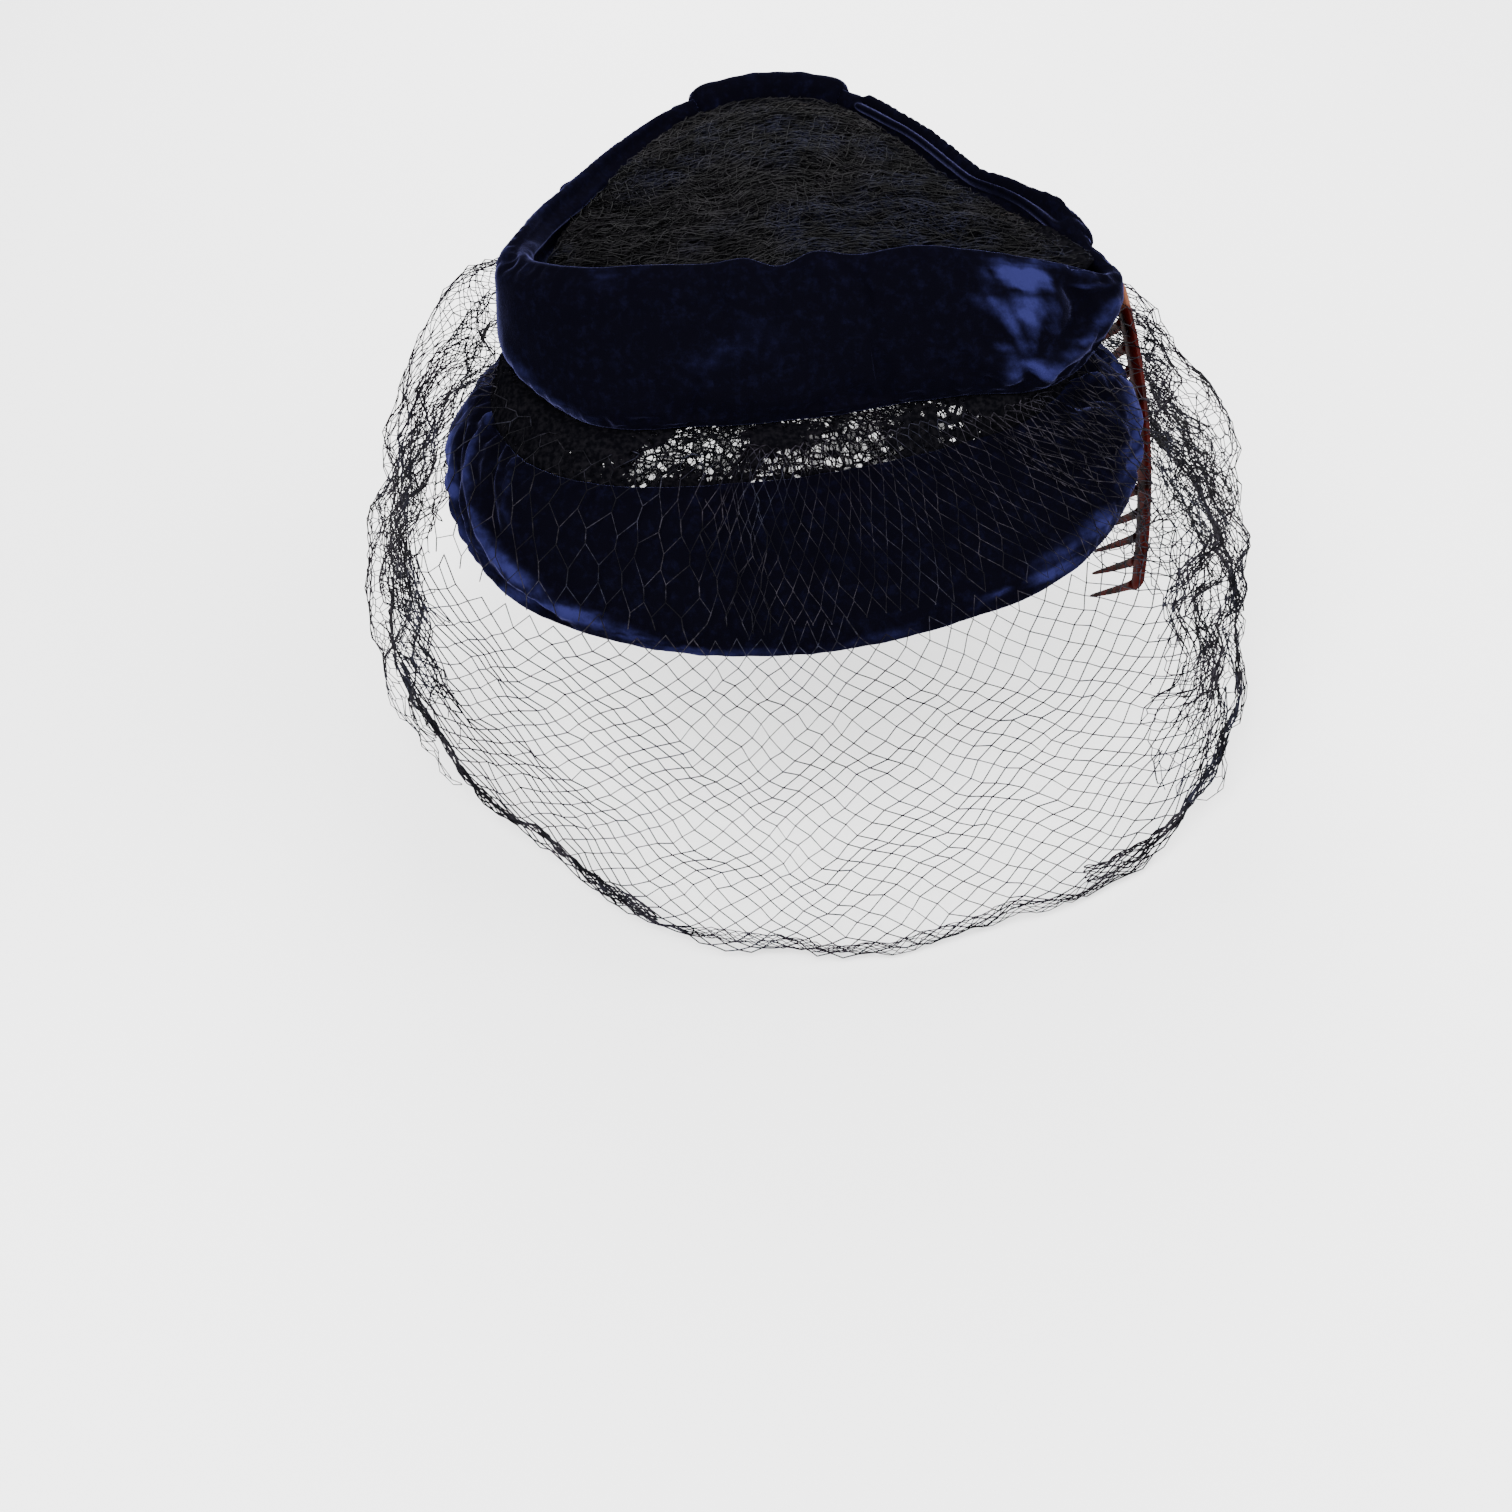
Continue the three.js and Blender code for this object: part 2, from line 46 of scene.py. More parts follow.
def smoothTable(table, turn):
    columns, rows = table["columns"], np.array(table["rows"], float)
    if table["closed"]:
        lap = np.zeros(rows.shape[1])
        lap[0] = 360
        rows = np.vstack([rows - lap, rows, rows + lap])
    at, value = rows[:, 0], rows[:, 1:]
    secant = np.diff(value, axis=0) / np.diff(at)[:, None]
    slope = np.vstack([secant[:1], (secant[1:] + secant[:-1]) / 2, secant[-1:]])
    turn = np.asarray(turn, float)
    i = np.clip(np.searchsorted(at, turn, side="right") - 1, 0, len(at) - 2)
    step = (at[i + 1] - at[i])[:, None]
    p = (turn - at[i])[:, None] / step
    found = (2 * p**3 - 3 * p**2 + 1) * value[i] + (p**3 - 2 * p**2 + p) * step * slope[i]
    found += (3 * p**2 - 2 * p**3) * value[i + 1] + (p**3 - p**2) * step * slope[i + 1]
    return dict(zip(columns[1:], found.T))


def place(turn, reach, z):
    angle = np.radians(turn)
    return np.stack([reach * np.sin(angle), bandAxisY - reach * np.cos(angle), z + 0 * angle], axis=-1)


def unit(vectors):
    return vectors / np.maximum(np.linalg.norm(vectors, axis=-1, keepdims=True), 1e-9)


def bandFrame(table, turn):
    def edges(at):
        row = smoothTable(table, at)
        return row, place(at, row["upperReach"], row["upperZ"]), place(at, row["lowerReach"], row["lowerZ"])

    row, upper, lower = edges(turn)
    _, upperAfter, lowerAfter = edges(turn + 1)
    _, upperBefore, lowerBefore = edges(turn - 1)
    forward = unit(upperAfter + lowerAfter - upperBefore - lowerBefore)
    down = unit(lower - upper)
    return {**row, "upper": upper, "lower": lower, "down": down, "outward": unit(np.cross(down, forward))}


def roughness(points, scale, seed):
    # smooth noise from -1 to 1; each seed reads it at another place
    offset = Vector((seed * 17.3, seed * 5.1, seed * 9.7))
    wide = points * (1 / scale)
    heights = [noise.noise(Vector(p) + offset) for p in wide.reshape(-1, 3)]
    return np.array(heights).reshape(points.shape[:-1])


def layered(points, octaves):
    # roughness of several sizes added up; each octave is (share, scale in mm, seed)
    return sum(share * roughness(points, scale, seed) for share, scale, seed in octaves)


def smoothed(share):
    return share * share * (3 - 2 * share)


# meshes

def makeObject(name, points, faces, edges=(), smooth=True):
    mesh = bpy.data.meshes.new(name)
    mesh.from_pydata((np.asarray(points).reshape(-1, 3) * mm).tolist(), list(edges), faces)
    mesh.validate()
    mesh.polygons.foreach_set("use_smooth", [smooth] * len(mesh.polygons))
    obj = bpy.data.objects.new(name, mesh)
    bpy.context.scene.collection.objects.link(obj)
    return obj


def gridFaces(rows, columns, closedRows=True, first=0):
    # the columns always close into rings
    faces = []
    for row in range(rows if closedRows else rows - 1):
        for column in range(columns):
            a = first + row * columns + column
            b = first + row * columns + (column + 1) % columns
            c = first + (row + 1) % rows * columns + (column + 1) % columns
            d = first + (row + 1) % rows * columns + column
            faces.append((a, b, c, d))
    return faces


def capFaces(rows, columns, first=0):
    # closes the two ends of a grid whose rows are rings
    start, end = range(first, first + columns), range(first + (rows - 1) * columns, first + rows * columns)
    return [list(start)[::-1], list(end)]


def faceOut(obj):
    mesh = obj.data
    corners = np.array([v.co for v in mesh.vertices])
    mesh.calc_loop_triangles()
    triangles = np.array([t.vertices[:] for t in mesh.loop_triangles])
    a, b, c = (corners[triangles[:, i]] for i in range(3))
    if np.einsum("ij,ij->i", a, np.cross(b, c)).sum() < 0:
        mesh.flip_normals()


def writeAttribute(obj, name, values):
    attribute = obj.data.attributes.new(name, "FLOAT", "POINT")
    attribute.data.foreach_set("value", np.asarray(values, float).ravel())


# shader sockets that can be added and multiplied

class Value:
    def __init__(self, shader, socket):
        self.shader = shader
        self.socket = socket

    def maths(self, operation, *values):
        return self.shader.node("ShaderNodeMath", {"operation": operation}, dict(enumerate(values)))

    def __add__(self, other):
        return self.maths("ADD", self, other)

    def __radd__(self, other):
        return self.maths("ADD", other, self)

    def __sub__(self, other):
        return self.maths("SUBTRACT", self, other)

    def __rsub__(self, other):
        return self.maths("SUBTRACT", other, self)

    def __mul__(self, other):
        return self.maths("MULTIPLY", self, other)

    def __rmul__(self, other):
        return self.maths("MULTIPLY", other, self)


class Shader:
    def __init__(self, name):
        self.material = bpy.data.materials.new(name)
        self.material.use_nodes = True
        self.tree = self.material.node_tree
        self.tree.nodes.clear()

    def node(self, kind, settings=None, values=None, output=0):
        made = self.tree.nodes.new(kind)
        for name, setting in (settings or {}).items():
            setattr(made, name, setting)
        for name, value in (values or {}).items():
            if isinstance(value, Value):
                self.tree.links.new(value.socket, made.inputs[name])
            else:
                made.inputs[name].default_value = value
        return Value(self, made.outputs[output]) if made.outputs else None

    def mix(self, share, first, second):
        # the mix node's colour sockets are 6 and 7, and its colour output is 2
        tint = [(*c, 1) if isinstance(c, tuple) else c for c in (first, second)]
        return self.node("ShaderNodeMix", {"data_type": "RGBA"}, {0: share, 6: tint[0], 7: tint[1]}, 2)

    def objectPlace(self):
        return self.node("ShaderNodeTexCoord", output=3)

    def written(self, name):
        # an attribute that the piece's points carry
        return self.node("ShaderNodeAttribute", {"attribute_name": name}, output=2)

    def noise(self, place, scale, detail=2, **sockets):
        values = {"Vector": place, "Scale": scale, "Detail": detail, **sockets}
        return self.node("ShaderNodeTexNoise", {}, values)

    def bump(self, strength, distance, height):
        values = {"Strength": strength, "Distance": distance, "Height": height}
        return self.node("ShaderNodeBump", {}, values)

    def band(self, value, low, high):
        values = {"Value": value, "From Min": low, "From Max": high}
        return self.node("ShaderNodeMapRange", {"interpolation_type": "SMOOTHSTEP"}, values)

    def finish(self, **sockets):
        values = {name.replace("_", " "): value for name, value in sockets.items()}
        surface = self.node("ShaderNodeBsdfPrincipled", {}, values)
        self.node("ShaderNodeOutputMaterial", {}, {"Surface": surface})
        return self.material


def velvetMaterial():
    velvet = {
        "pile": (0.0011, 0.001, 0.0022),
        "lightPile": (0.0019, 0.0019, 0.0062),
        # the crushed pile's royal blue, also laid on as a painted highlight where fold ridges catch the
        # sheen
        "crushedAndSheen": (0.0114, 0.0119, 0.051),
        "layScale": 420.0,
        "pileScale": 2600.0,
        "mottleScale": 170.0,
        "pileSpeckle": 0.12,
        "brushedAndSheenRange": (0.06, 1.9),
        "lightRange": (0.45, 0.85),
        "sheenTint": (0.26, 0.26, 0.66, 1),
    }
    shader = Shader("navy crushed velvet")
    place = shader.objectPlace()
    napAndSheen = shader.written("napAndSheen")
    lay = shader.noise(place, velvet["layScale"], 3, Roughness=0.7)
    pile = shader.noise(place, velvet["pileScale"], 2)
    mottle = shader.noise(place, velvet["mottleScale"], 3, Roughness=0.6)
    # the nap attribute brings in the blue: partly the crushed pile, partly painted highlight on ridges and
    # painted shade in grooves
    napAndSheenRaised = napAndSheen * (lay + 0.4) * (mottle * 1.3 + 0.4) + (pile - 0.5) * velvet["pileSpeckle"]
    brushedAndSheen = shader.band(napAndSheenRaised, *velvet["brushedAndSheenRange"])
    ground = shader.mix(shader.band(lay, *velvet["lightRange"]), velvet["pile"], velvet["lightPile"])
    color = shader.mix(brushedAndSheen, ground, velvet["crushedAndSheen"])
    return shader.finish(
        Base_Color=color, Roughness=0.95, Normal=shader.bump(0.4, 0.0004, lay * 0.5 + pile * 0.5),
        Specular_IOR_Level=0.0, Sheen_Weight=0.3, Sheen_Roughness=0.26, Sheen_Tint=velvet["sheenTint"],
    )


def nettingMaterial(name, strand, paintedHighlight, bluishHighlight, shine, highlightScale):
    # in places the strands are painted paler, a painted highlight, and the pale ones are bluish in some
    # areas
    netting = {
        "fibreScale": 900.0,
        "fibreRange": (0.3, 0.7),
        "highlightRange": (0.36, 0.64),
        "blueScale": 38.0,
        "blueRange": (0.45, 0.65),
    }
    shader = Shader(name)
    place = shader.objectPlace()
    fibres = shader.noise(place, netting["fibreScale"], 3)
    highlightPatch = shader.band(shader.noise(place, highlightScale, 2), *netting["highlightRange"])
    highlightPatch = highlightPatch * shader.band(fibres, *netting["fibreRange"])
    blue = shader.band(shader.noise(place, netting["blueScale"], 1), *netting["blueRange"])
    color = shader.mix(highlightPatch, strand, shader.mix(blue, paintedHighlight, bluishHighlight))
    bump = shader.bump(0.3, 0.0002, fibres)
    return shader.finish(Base_Color=color, Roughness=0.6, Normal=bump, Specular_IOR_Level=shine)


def tulleMaterial():
    tulle = {
        "color": (0.001, 0.001, 0.0015),
        "light": (0.0035, 0.0033, 0.0042),
        "fibreScale": 900.0,
        "fibreRange": (0.35, 0.75),
        "cellScale": 460.0,
        "cellJitter": 0.7,
        "holeRange": (0.02, 0.12),
        "holeLight": (0.5, 0.22),  # what a hole lets through varies by the first, and is at least the second
    }
    shader = Shader("fine tulle")
    place = shader.objectPlace()
    spread = {"Vector": place, "Scale": tulle["cellScale"], "Randomness": tulle["cellJitter"]}
    edge = shader.node("ShaderNodeTexVoronoi", {"feature": "DISTANCE_TO_EDGE"}, spread)
    cell = shader.node("ShaderNodeTexVoronoi", {}, spread, 1)
    chance = shader.node("ShaderNodeSeparateColor", {}, {"Color": cell})
    vary, least = tulle["holeLight"]
    hole = shader.band(edge - (1 - shader.written("open")) * 0.5, *tulle["holeRange"])
    hole = hole * (shader.band(chance, 0.1, 0.9) * vary + least)
    fibres = shader.noise(place, tulle["fibreScale"], 3)
    color = shader.mix(shader.band(fibres, *tulle["fibreRange"]), tulle["color"], tulle["light"])
    return shader.finish(Base_Color=color, Roughness=0.8, Alpha=1 - hole, Specular_IOR_Level=0.0)


def tortoiseshellMaterial():
    shell = {
        "dark": (0.005, 0.0008, 0.0006),
        "red": (0.03, 0.0026, 0.0018),
        "highlightAmber": (0.12, 0.047, 0.027),
        "cloudScale": 95.0,
        "cloudRange": (0.44, 0.6),
        "litEndRange": (0.3, 0.7),
        "scratchScale": 700.0,
    }
    shader = Shader("tortoiseshell plastic")
    place = shader.objectPlace()
    clouds = shader.noise(place, shell["cloudScale"], 3, Distortion=1.2)
    body = shader.mix(shader.band(clouds, *shell["cloudRange"]), shell["red"], shell["dark"])
    # the rear end's amber is a painted highlight, marked by the "clear" attribute
    clear = shader.band(shader.written("clear") + (clouds - 0.5) * 0.5, *shell["litEndRange"])
    color = shader.mix(clear, body, shell["highlightAmber"])
    scratches = shader.noise(place, shell["scratchScale"], 2)
    return shader.finish(
        Base_Color=color, Roughness=shader.band(scratches, 0.2, 0.9) * 0.2 + 0.4,
        Normal=shader.bump(0.08, 0.0002, scratches), Specular_IOR_Level=0.0,
        Coat_Weight=0.06, Coat_Roughness=0.25,
    )


velvetLook = velvetMaterial()
crownNetLook = nettingMaterial(
    "crown netting", strand=(0.0009, 0.0009, 0.0012), paintedHighlight=(0.02, 0.0175, 0.0165),
    bluishHighlight=(0.012, 0.0125, 0.022), shine=0.02, highlightScale=150.0)
fibreLook = nettingMaterial(
    "crown fibres", strand=(0.0007, 0.0007, 0.001), paintedHighlight=(0.007, 0.0065, 0.0078),
    bluishHighlight=(0.0048, 0.0053, 0.013), shine=0.03, highlightScale=140.0)
tulleLook = tulleMaterial()
veilNetLook = nettingMaterial(
    "veil netting", strand=(0.0022, 0.002, 0.0032), paintedHighlight=(0.026, 0.023, 0.03),
    bluishHighlight=(0.018, 0.019, 0.032), shine=0.03, highlightScale=110.0)
combLook = tortoiseshellMaterial()
print("materials made")


# the velvet bands

brim = {
    "stations": 320,
    "around": 48,
    "squareness": 2.6,
    "table": {
        "closed": True,
        "columns": ("turn", "upperReach", "upperZ", "lowerReach", "lowerZ", "thick"),
        "rows": [
            (0, 53.5, -25, 80.5, -53, 7.5), (22, 54.5, -25, 82, -52.5, 7.5),
            (40, 60, -25, 87.5, -50.5, 7.5), (54, 66.5, -25, 89.5, -47.5, 7.5),
            (68, 70.5, -25.5, 87.5, -43, 7.5), (82, 69, -26, 82, -39, 7.5),
            (100, 62, -26.5, 72, -36.5, 7), (125, 56, -27, 64, -36, 6.5), (150, 60, -28, 67, -37, 6.5),
            (180, 67, -29, 74, -38, 6.5), (210, 60, -28, 67, -37, 6.5), (235, 56, -27, 64, -36, 6.5),
            (260, 61.5, -26.5, 71, -36.5, 7), (278, 69, -26, 80, -39, 7.5),
            (292, 71.5, -25.5, 85, -43, 7.5), (306, 71, -25, 87.5, -47.5, 7.5),
            (320, 65.5, -25, 86.5, -50.5, 7.5), (338, 57.5, -25, 82, -52.5, 7.5),
        ],
    },
    "section": [  # share of the way down the band, share of the full thickness
        (0, 0.45), (0.06, 0.75), (0.14, 0.85), (0.5, 0.68), (0.78, 0.74), (0.88, 1), (0.95, 0.98), (1, 0.6),
    ],
    "tight": (0, 0),  # turns between which the cover can't move
    "folds": [  # width, lift, nap (the pile brushed up, with a painted highlight along the ridge; negative nap is painted shade in a groove), then the line as (turn, mm round from the upper edge)
        (3.0, 0.3, 0.8, [(-84, 4), (-80, 11), (-75, 17), (-66, 22)]),
        (7.0, 0.15, 1.1, [(-84, 8), (-77, 17), (-66, 25), (-52, 31), (-40, 34)]),
        (1.3, -1.2, -0.3, [(-77, 7), (-73, 11), (-68, 17), (-62, 23), (-56, 27)]),
        (1.7, 1.3, 1.2, [(-76, -1), (-71, 3), (-67, 11), (-62, 15), (-55, 21)]),
        (1.3, -1.2, -0.3, [(-66, 0), (-62, 5), (-58, 12), (-53, 20)]),
        (1.4, 0.9, 0.5, [(-60, 0), (-57, 4), (-54, 12), (-50, 16)]),
        (1.8, 1.1, 1.3, [(-58, 18), (-53, 22), (-47, 26), (-42, 29), (-36, 32)]),
        (1.6, -0.7, 0.0, [(-58, 23), (-50, 29), (-41, 33)]),
        (2.6, 0.6, 1.2, [(-41, 30), (-33, 33), (-24, 38), (-14, 40)]),
        (2.4, 0.3, 0.5, [(-20, 39), (0, 40.5), (20, 39.5)]),
        (1.3, 0.2, 0.8, [(24, 39), (28, 38), (34, 36)]),
        (3.6, 0.5, 1.4, [(34, 38), (43, 35), (50, 32), (56, 29)]),
        (4.6, 0.5, 1.5, [(55, 30), (63, 25), (72, 20), (80, 16), (88, 11)]),
        (1.4, 1.1, 0.6, [(57, 0), (62, 0), (66, 1), (70, 4), (75, 9), (74, 14)]),
        (2.3, -2.4, -0.5, [(61, 4), (65, 5), (69, 8), (71, 12)]),
        (1.5, 0.8, 0.3, [(58, 6), (63, 10), (66, 15), (64, 20)]),
        (1.2, -0.7, 0.0, [(72, 15), (66, 21), (58, 27)]),
        (1.8, 0.5, 0.15, [(-44, 8), (-20, 12), (6, 11)]),
        (2.0, -0.4, 0.0, [(10, 20), (30, 17), (48, 11)]),
    ],
    "crush": 0.2,
}

upperBand = {
    "stations": 320,
    "around": 48,
    "squareness": 3.2,
    "table": {
        "closed": True,
        "columns": ("turn", "upperReach", "upperZ", "lowerReach", "lowerZ", "thick"),
        "rows": [
            (0, 29, 13.5, 43, -17, 6), (16, 29.5, 16, 44, -17, 6), (32, 34, 14.5, 47.5, -17, 6),
            (46, 43, 16, 56.5, -17, 6), (57, 56, 13, 70, -17.5, 5), (65, 67, 7.5, 76, -14, 5.5),
            (73, 77.5, 0.5, 78.5, -8, 4.5), (81, 70.5, 2, 70.5, -11, 6), (94, 60, 6, 60.5, -15, 9),
            (112, 53, 4.5, 54, -17, 8), (145, 60, 5, 60, -18, 7.5), (163, 70, 5, 70, -19, 7),
            (177, 73, 5, 73, -19, 7), (193, 69, 5, 69.5, -19, 7), (215, 58.5, 5, 59, -18, 7),
            (240, 52.5, 7, 54, -17, 7), (262, 54.5, 9, 57, -16, 7), (283, 57.5, 12, 62, -16, 8),
            (300, 50, 15, 60, -17, 6.5), (315, 40, 16, 56.5, -17, 6), (333, 31.5, 15, 47.5, -17, 6),
            (346, 30, 16, 44.5, -17, 6),
        ],
    },
    "section": [
        (0, 0.55), (0.06, 0.9), (0.16, 1), (0.33, 0.92), (0.5, 0.96), (0.67, 0.9), (0.84, 1), (0.95, 0.9),
        (1, 0.55),
    ],
    "tight": (158, 196),
    # as for the brim, the nap column paints highlight along ridges and shade in grooves
    "folds": [
        (2.6, 0.3, 0.4, [(-78, 14), (-79, 5), (-88, 1), (-108, 1), (-136, 1), (-158, 1)]),
        (1.4, -0.7, -0.2, [(-75, 5), (-79, 1.5), (-90, -1.8), (-115, -2.2), (-139, -2.6), (-161, -2.8)]),
        (1.6, 0.5, 0.2, [(-78, -2.6), (-86, -3.6), (-95, -4.8), (-120, -5), (-146, -5), (-161, -5)]),
        (1.3, -0.9, -0.2, [(-82, -6), (-110, -7.6), (-150, -7.6)]),
        (2.6, 0.5, 0.55, [(-77, 20), (-70, 26), (-62, 31), (-53, 36), (-44, 37.5)]),
        (3.2, 0.2, 0.45, [(-60, 3), (-54, 2.5), (-47, 4)]),
        (6.5, 0.2, 0.28, [(-44, 18), (-27, 22), (-2, 16), (10, 18)]),
        (1.4, -0.5, 0.0, [(-62, 14), (-40, 11), (-14, 9)]),
        (1.1, 0.4, 0.6, [(50.5, 10), (51.5, 13), (52, 17)]),
        (0.8, 0.2, 0.6, [(55.3, 30), (54.8, 20), (53.2, 12), (52.5, 8)]),
        (0.7, -0.3, -0.7, [(55.4, 28), (55.6, 18), (55, 9), (54.5, 4)]),
        (0.7, 0.2, 0.5, [(55.6, 30), (57, 20), (58, 12), (58, 2)]),
        (0.7, -0.3, -0.6, [(56, 27), (58.5, 19), (60, 12), (60.5, 5)]),
        (0.8, 0.3, 0.5, [(56.5, 28), (60, 20), (62, 13)]),
        (4.0, 0.6, 1.9, [(57, -1), (57.5, 5), (57.5, 11), (56, 18), (55.5, 23)]),
        (2.6, 0.2, 1.4, [(60, 0), (61, 5), (60, 10)]),
        (1.4, 0.4, 0.9, [(55.5, 20), (55.5, 26), (55.2, 33)]),
        (2.0, -1.1, -1.4, [(63.5, 3), (64.5, 9), (64, 15), (61, 20)]),
        (1.5, 1.3, 0.9, [(55.5, 33.5), (57, 30), (59.5, 26.5), (64, 19.5), (68.5, 10.5), (71, 6)]),
        (1.4, -0.9, -0.4, [(58, 24), (61, 20), (65, 15), (69, 7)]),
        (1.5, 0.3, 0.8, [(60, 1), (66, 1), (71, 2)]),
        (0.7, 0.5, 0.5, [(71, 3), (68, 4.5), (64.5, 6)]),
        (0.7, -0.5, -0.4, [(71, 4.5), (68.5, 6.5), (65.5, 9)]),
        (0.7, 0.5, 0.4, [(71, 6), (69, 8.5), (67, 12)]),
        (1.2, 0.6, 0.9, [(51, 35.5), (52.5, 32), (53.5, 28), (53, 24.5), (51, 23)]),
        (1.3, -0.8, -0.3, [(54.5, 34), (54.6, 28), (53.6, 20), (51, 13)]),
        (1.3, 0.7, 0.1, [(53, 34), (50, 27), (46, 20)]),
        (1.4, -0.6, 0.0, [(50, 35), (46, 30), (40, 26)]),
        (1.1, 0.9, 0.16, [(86, 1.2), (100, 1), (123, 1.4), (145, 1), (157, 0.8)]),
        (0.8, -1.0, -0.4, [(85, -0.6), (100, -0.6), (123, -0.2), (145, -0.4), (157, -0.8)]),
        (1.0, 0.8, 0.14, [(84, -2.4), (98, -2.2), (119, -1.6), (142, -2), (157, -2.6)]),
        (0.8, -1.0, -0.4, [(83, -4.2), (98, -4), (118, -3.4), (140, -3.8), (157, -4.4)]),
        (1.0, 0.7, 0.1, [(82, -6), (98, -5.8), (118, -5.2), (140, -5.6), (157, -6.2)]),
        (0.9, -0.8, -0.2, [(82, -8), (98, -7.8), (118, -7.4), (140, -7.8), (157, -8)]),
        (4.4, 2.3, 0.15, [(96, 3), (90, 2.5), (84, 2), (78, 3)]),
        (1.3, -0.9, -0.3, [(98, 4), (92, 6), (84, 6), (77, 7)]),
    ],
    "crush": 0.2,
}

cover = {
    "magnify": 10,
    "frames": 20,
    "quality": 5,
    "mass": 0.3,
    "tension": 15,
    "shear": 5,
    "bending": 0.8,
    "ease": 0.08,
    "pressure": 3,
    "cap": 2.2,
    "looseFrom": 0.25,  # the outer face is loose where the section's sine passes this
    "looseRise": 2,
}

fold = {
    "fadeWidths": 2,
    "groove": 0.35,  # the depth of the groove beside a fold, as a share of the fold's height
    "grooveAway": 1.9,
    "grooveFall": 2,
    "napAndSheenFall": 1.2,
}

# the nap's streaks: random unevenness of the pile, which also breaks up the folds' painted highlights; crush
# is small relief of the skin
napAndSheen = {
    "crush": [(1, 9, 1), (0.5, 4, 2), (0.25, 1.8, 3)],
    "streaks": [(1, 16, 4), (0.6, 6, 5), (0.45, 2.6, 6)],
    "streakReach": 60,  # the streaks are read on an upright drum of this reach, squeezed across the band
    "streakSqueeze": 5,
    "even": 0.92,
    "streaked": 0.75,
    "limits": (0.1, 1.5),
    "bare": 0.08,  # the nap that the streaks give where no fold brushes it
}


def shortestTurn(angle):
    return (angle + 180) % 360 - 180


def sectionAngles(count):
    return np.linspace(0, 2 * np.pi, count, endpoint=False) + np.pi / count


def bandSkin(band, turn):
    # the plain closed section at each turn
    frameAt = bandFrame(band["table"], turn)
    angle = sectionAngles(band["around"])
    power = 2 / band["squareness"]
    across = np.sign(np.cos(angle)) * np.abs(np.cos(angle)) ** power
    side = np.sign(np.sin(angle)) * np.abs(np.sin(angle)) ** power
    along = np.tile(0.5 - 0.5 * across, (len(turn), 1))
    profile = np.array(band["section"])
    half = frameAt["thick"][:, None] / 2 * np.interp(along, profile[:, 0], profile[:, 1])
    middle = frameAt["upper"][:, None] + (frameAt["lower"] - frameAt["upper"])[:, None] * along[..., None]
    return middle + frameAt["outward"][:, None] * (half * side)[..., None]


def settleCover(points, loose):
    # Cloth buckles the loose skin into crumples; it runs on a copy ten times larger, as the bands are small
    obj = makeObject("cover", points * cover["magnify"], gridFaces(*points.shape[:2]))
    faceOut(obj)
    sewn = obj.vertex_groups.new(name="sewn")
    for i, weight in enumerate(1 - loose.ravel()):
        sewn.add([i], float(weight), "REPLACE")
    modifier = obj.modifiers.new("cover", "CLOTH")
    cloth = modifier.settings
    cloth.quality = cover["quality"]
    cloth.mass = cover["mass"]
    cloth.tension_stiffness = cloth.compression_stiffness = cover["tension"]
    cloth.shear_stiffness = cover["shear"]
    cloth.bending_stiffness = cover["bending"]
    cloth.shrink_min = cloth.shrink_max = -cover["ease"]
    cloth.use_pressure = True
    cloth.uniform_pressure_force = cover["pressure"]
    cloth.vertex_group_mass = "sewn"
    cloth.effector_weights.gravity = 0
    modifier.collision_settings.use_collision = False
    modifier.point_cache.frame_start = 1
    modifier.point_cache.frame_end = cover["frames"]
    for step in range(1, cover["frames"] + 1):
        bpy.context.scene.frame_set(step)
    settled = np.empty(points.size)
    evaluated = obj.evaluated_get(bpy.context.evaluated_depsgraph_get())
    evaluated.data.vertices.foreach_get("co", settled)
    obj.modifiers.remove(modifier)
    bpy.data.objects.remove(obj)
    bpy.context.scene.frame_set(1)
    move = settled.reshape(points.shape) / (cover["magnify"] * mm) - points
    size = np.linalg.norm(move, axis=-1, keepdims=True)
    print("cover settled, mean move", round(float(size.mean()), 2), "mm")
    return points + move * np.tanh(size / cover["cap"]) * cover["cap"] / np.maximum(size, 1e-9)


def refine(grid):
    # one smooth subdivision of a grid that closes both ways
    for axis in (0, 1):
        before, after = np.roll(grid, 1, axis), np.roll(grid, -1, axis)
        shape = list(grid.shape)
        shape[axis] *= 2
        grid = np.stack([(before + 6 * grid + after) / 8, (grid + after) / 2], axis=axis + 1).reshape(shape)
    return grid


def gridNormals(points):
    lengthwise = np.roll(points, -1, axis=0) - np.roll(points, 1, axis=0)
    across = np.roll(points, -1, axis=1) - np.roll(points, 1, axis=1)
    normals = unit(np.cross(across, lengthwise))
    away = points - points.mean(axis=1, keepdims=True)
    return normals * np.sign((normals * away).sum(axis=-1).mean())


def fromEdge(points):
    # the way round the section from the upper edge: it counts up over the outer face, down over the inner
    steps = np.linalg.norm(np.roll(points, -1, axis=1) - points, axis=-1)
    walked = np.cumsum(steps, axis=1) - steps + steps[:, -1:] / 2
    count = points.shape[1]
    return np.where(np.arange(count) < count / 2, walked, walked - steps.sum(axis=1, keepdims=True))


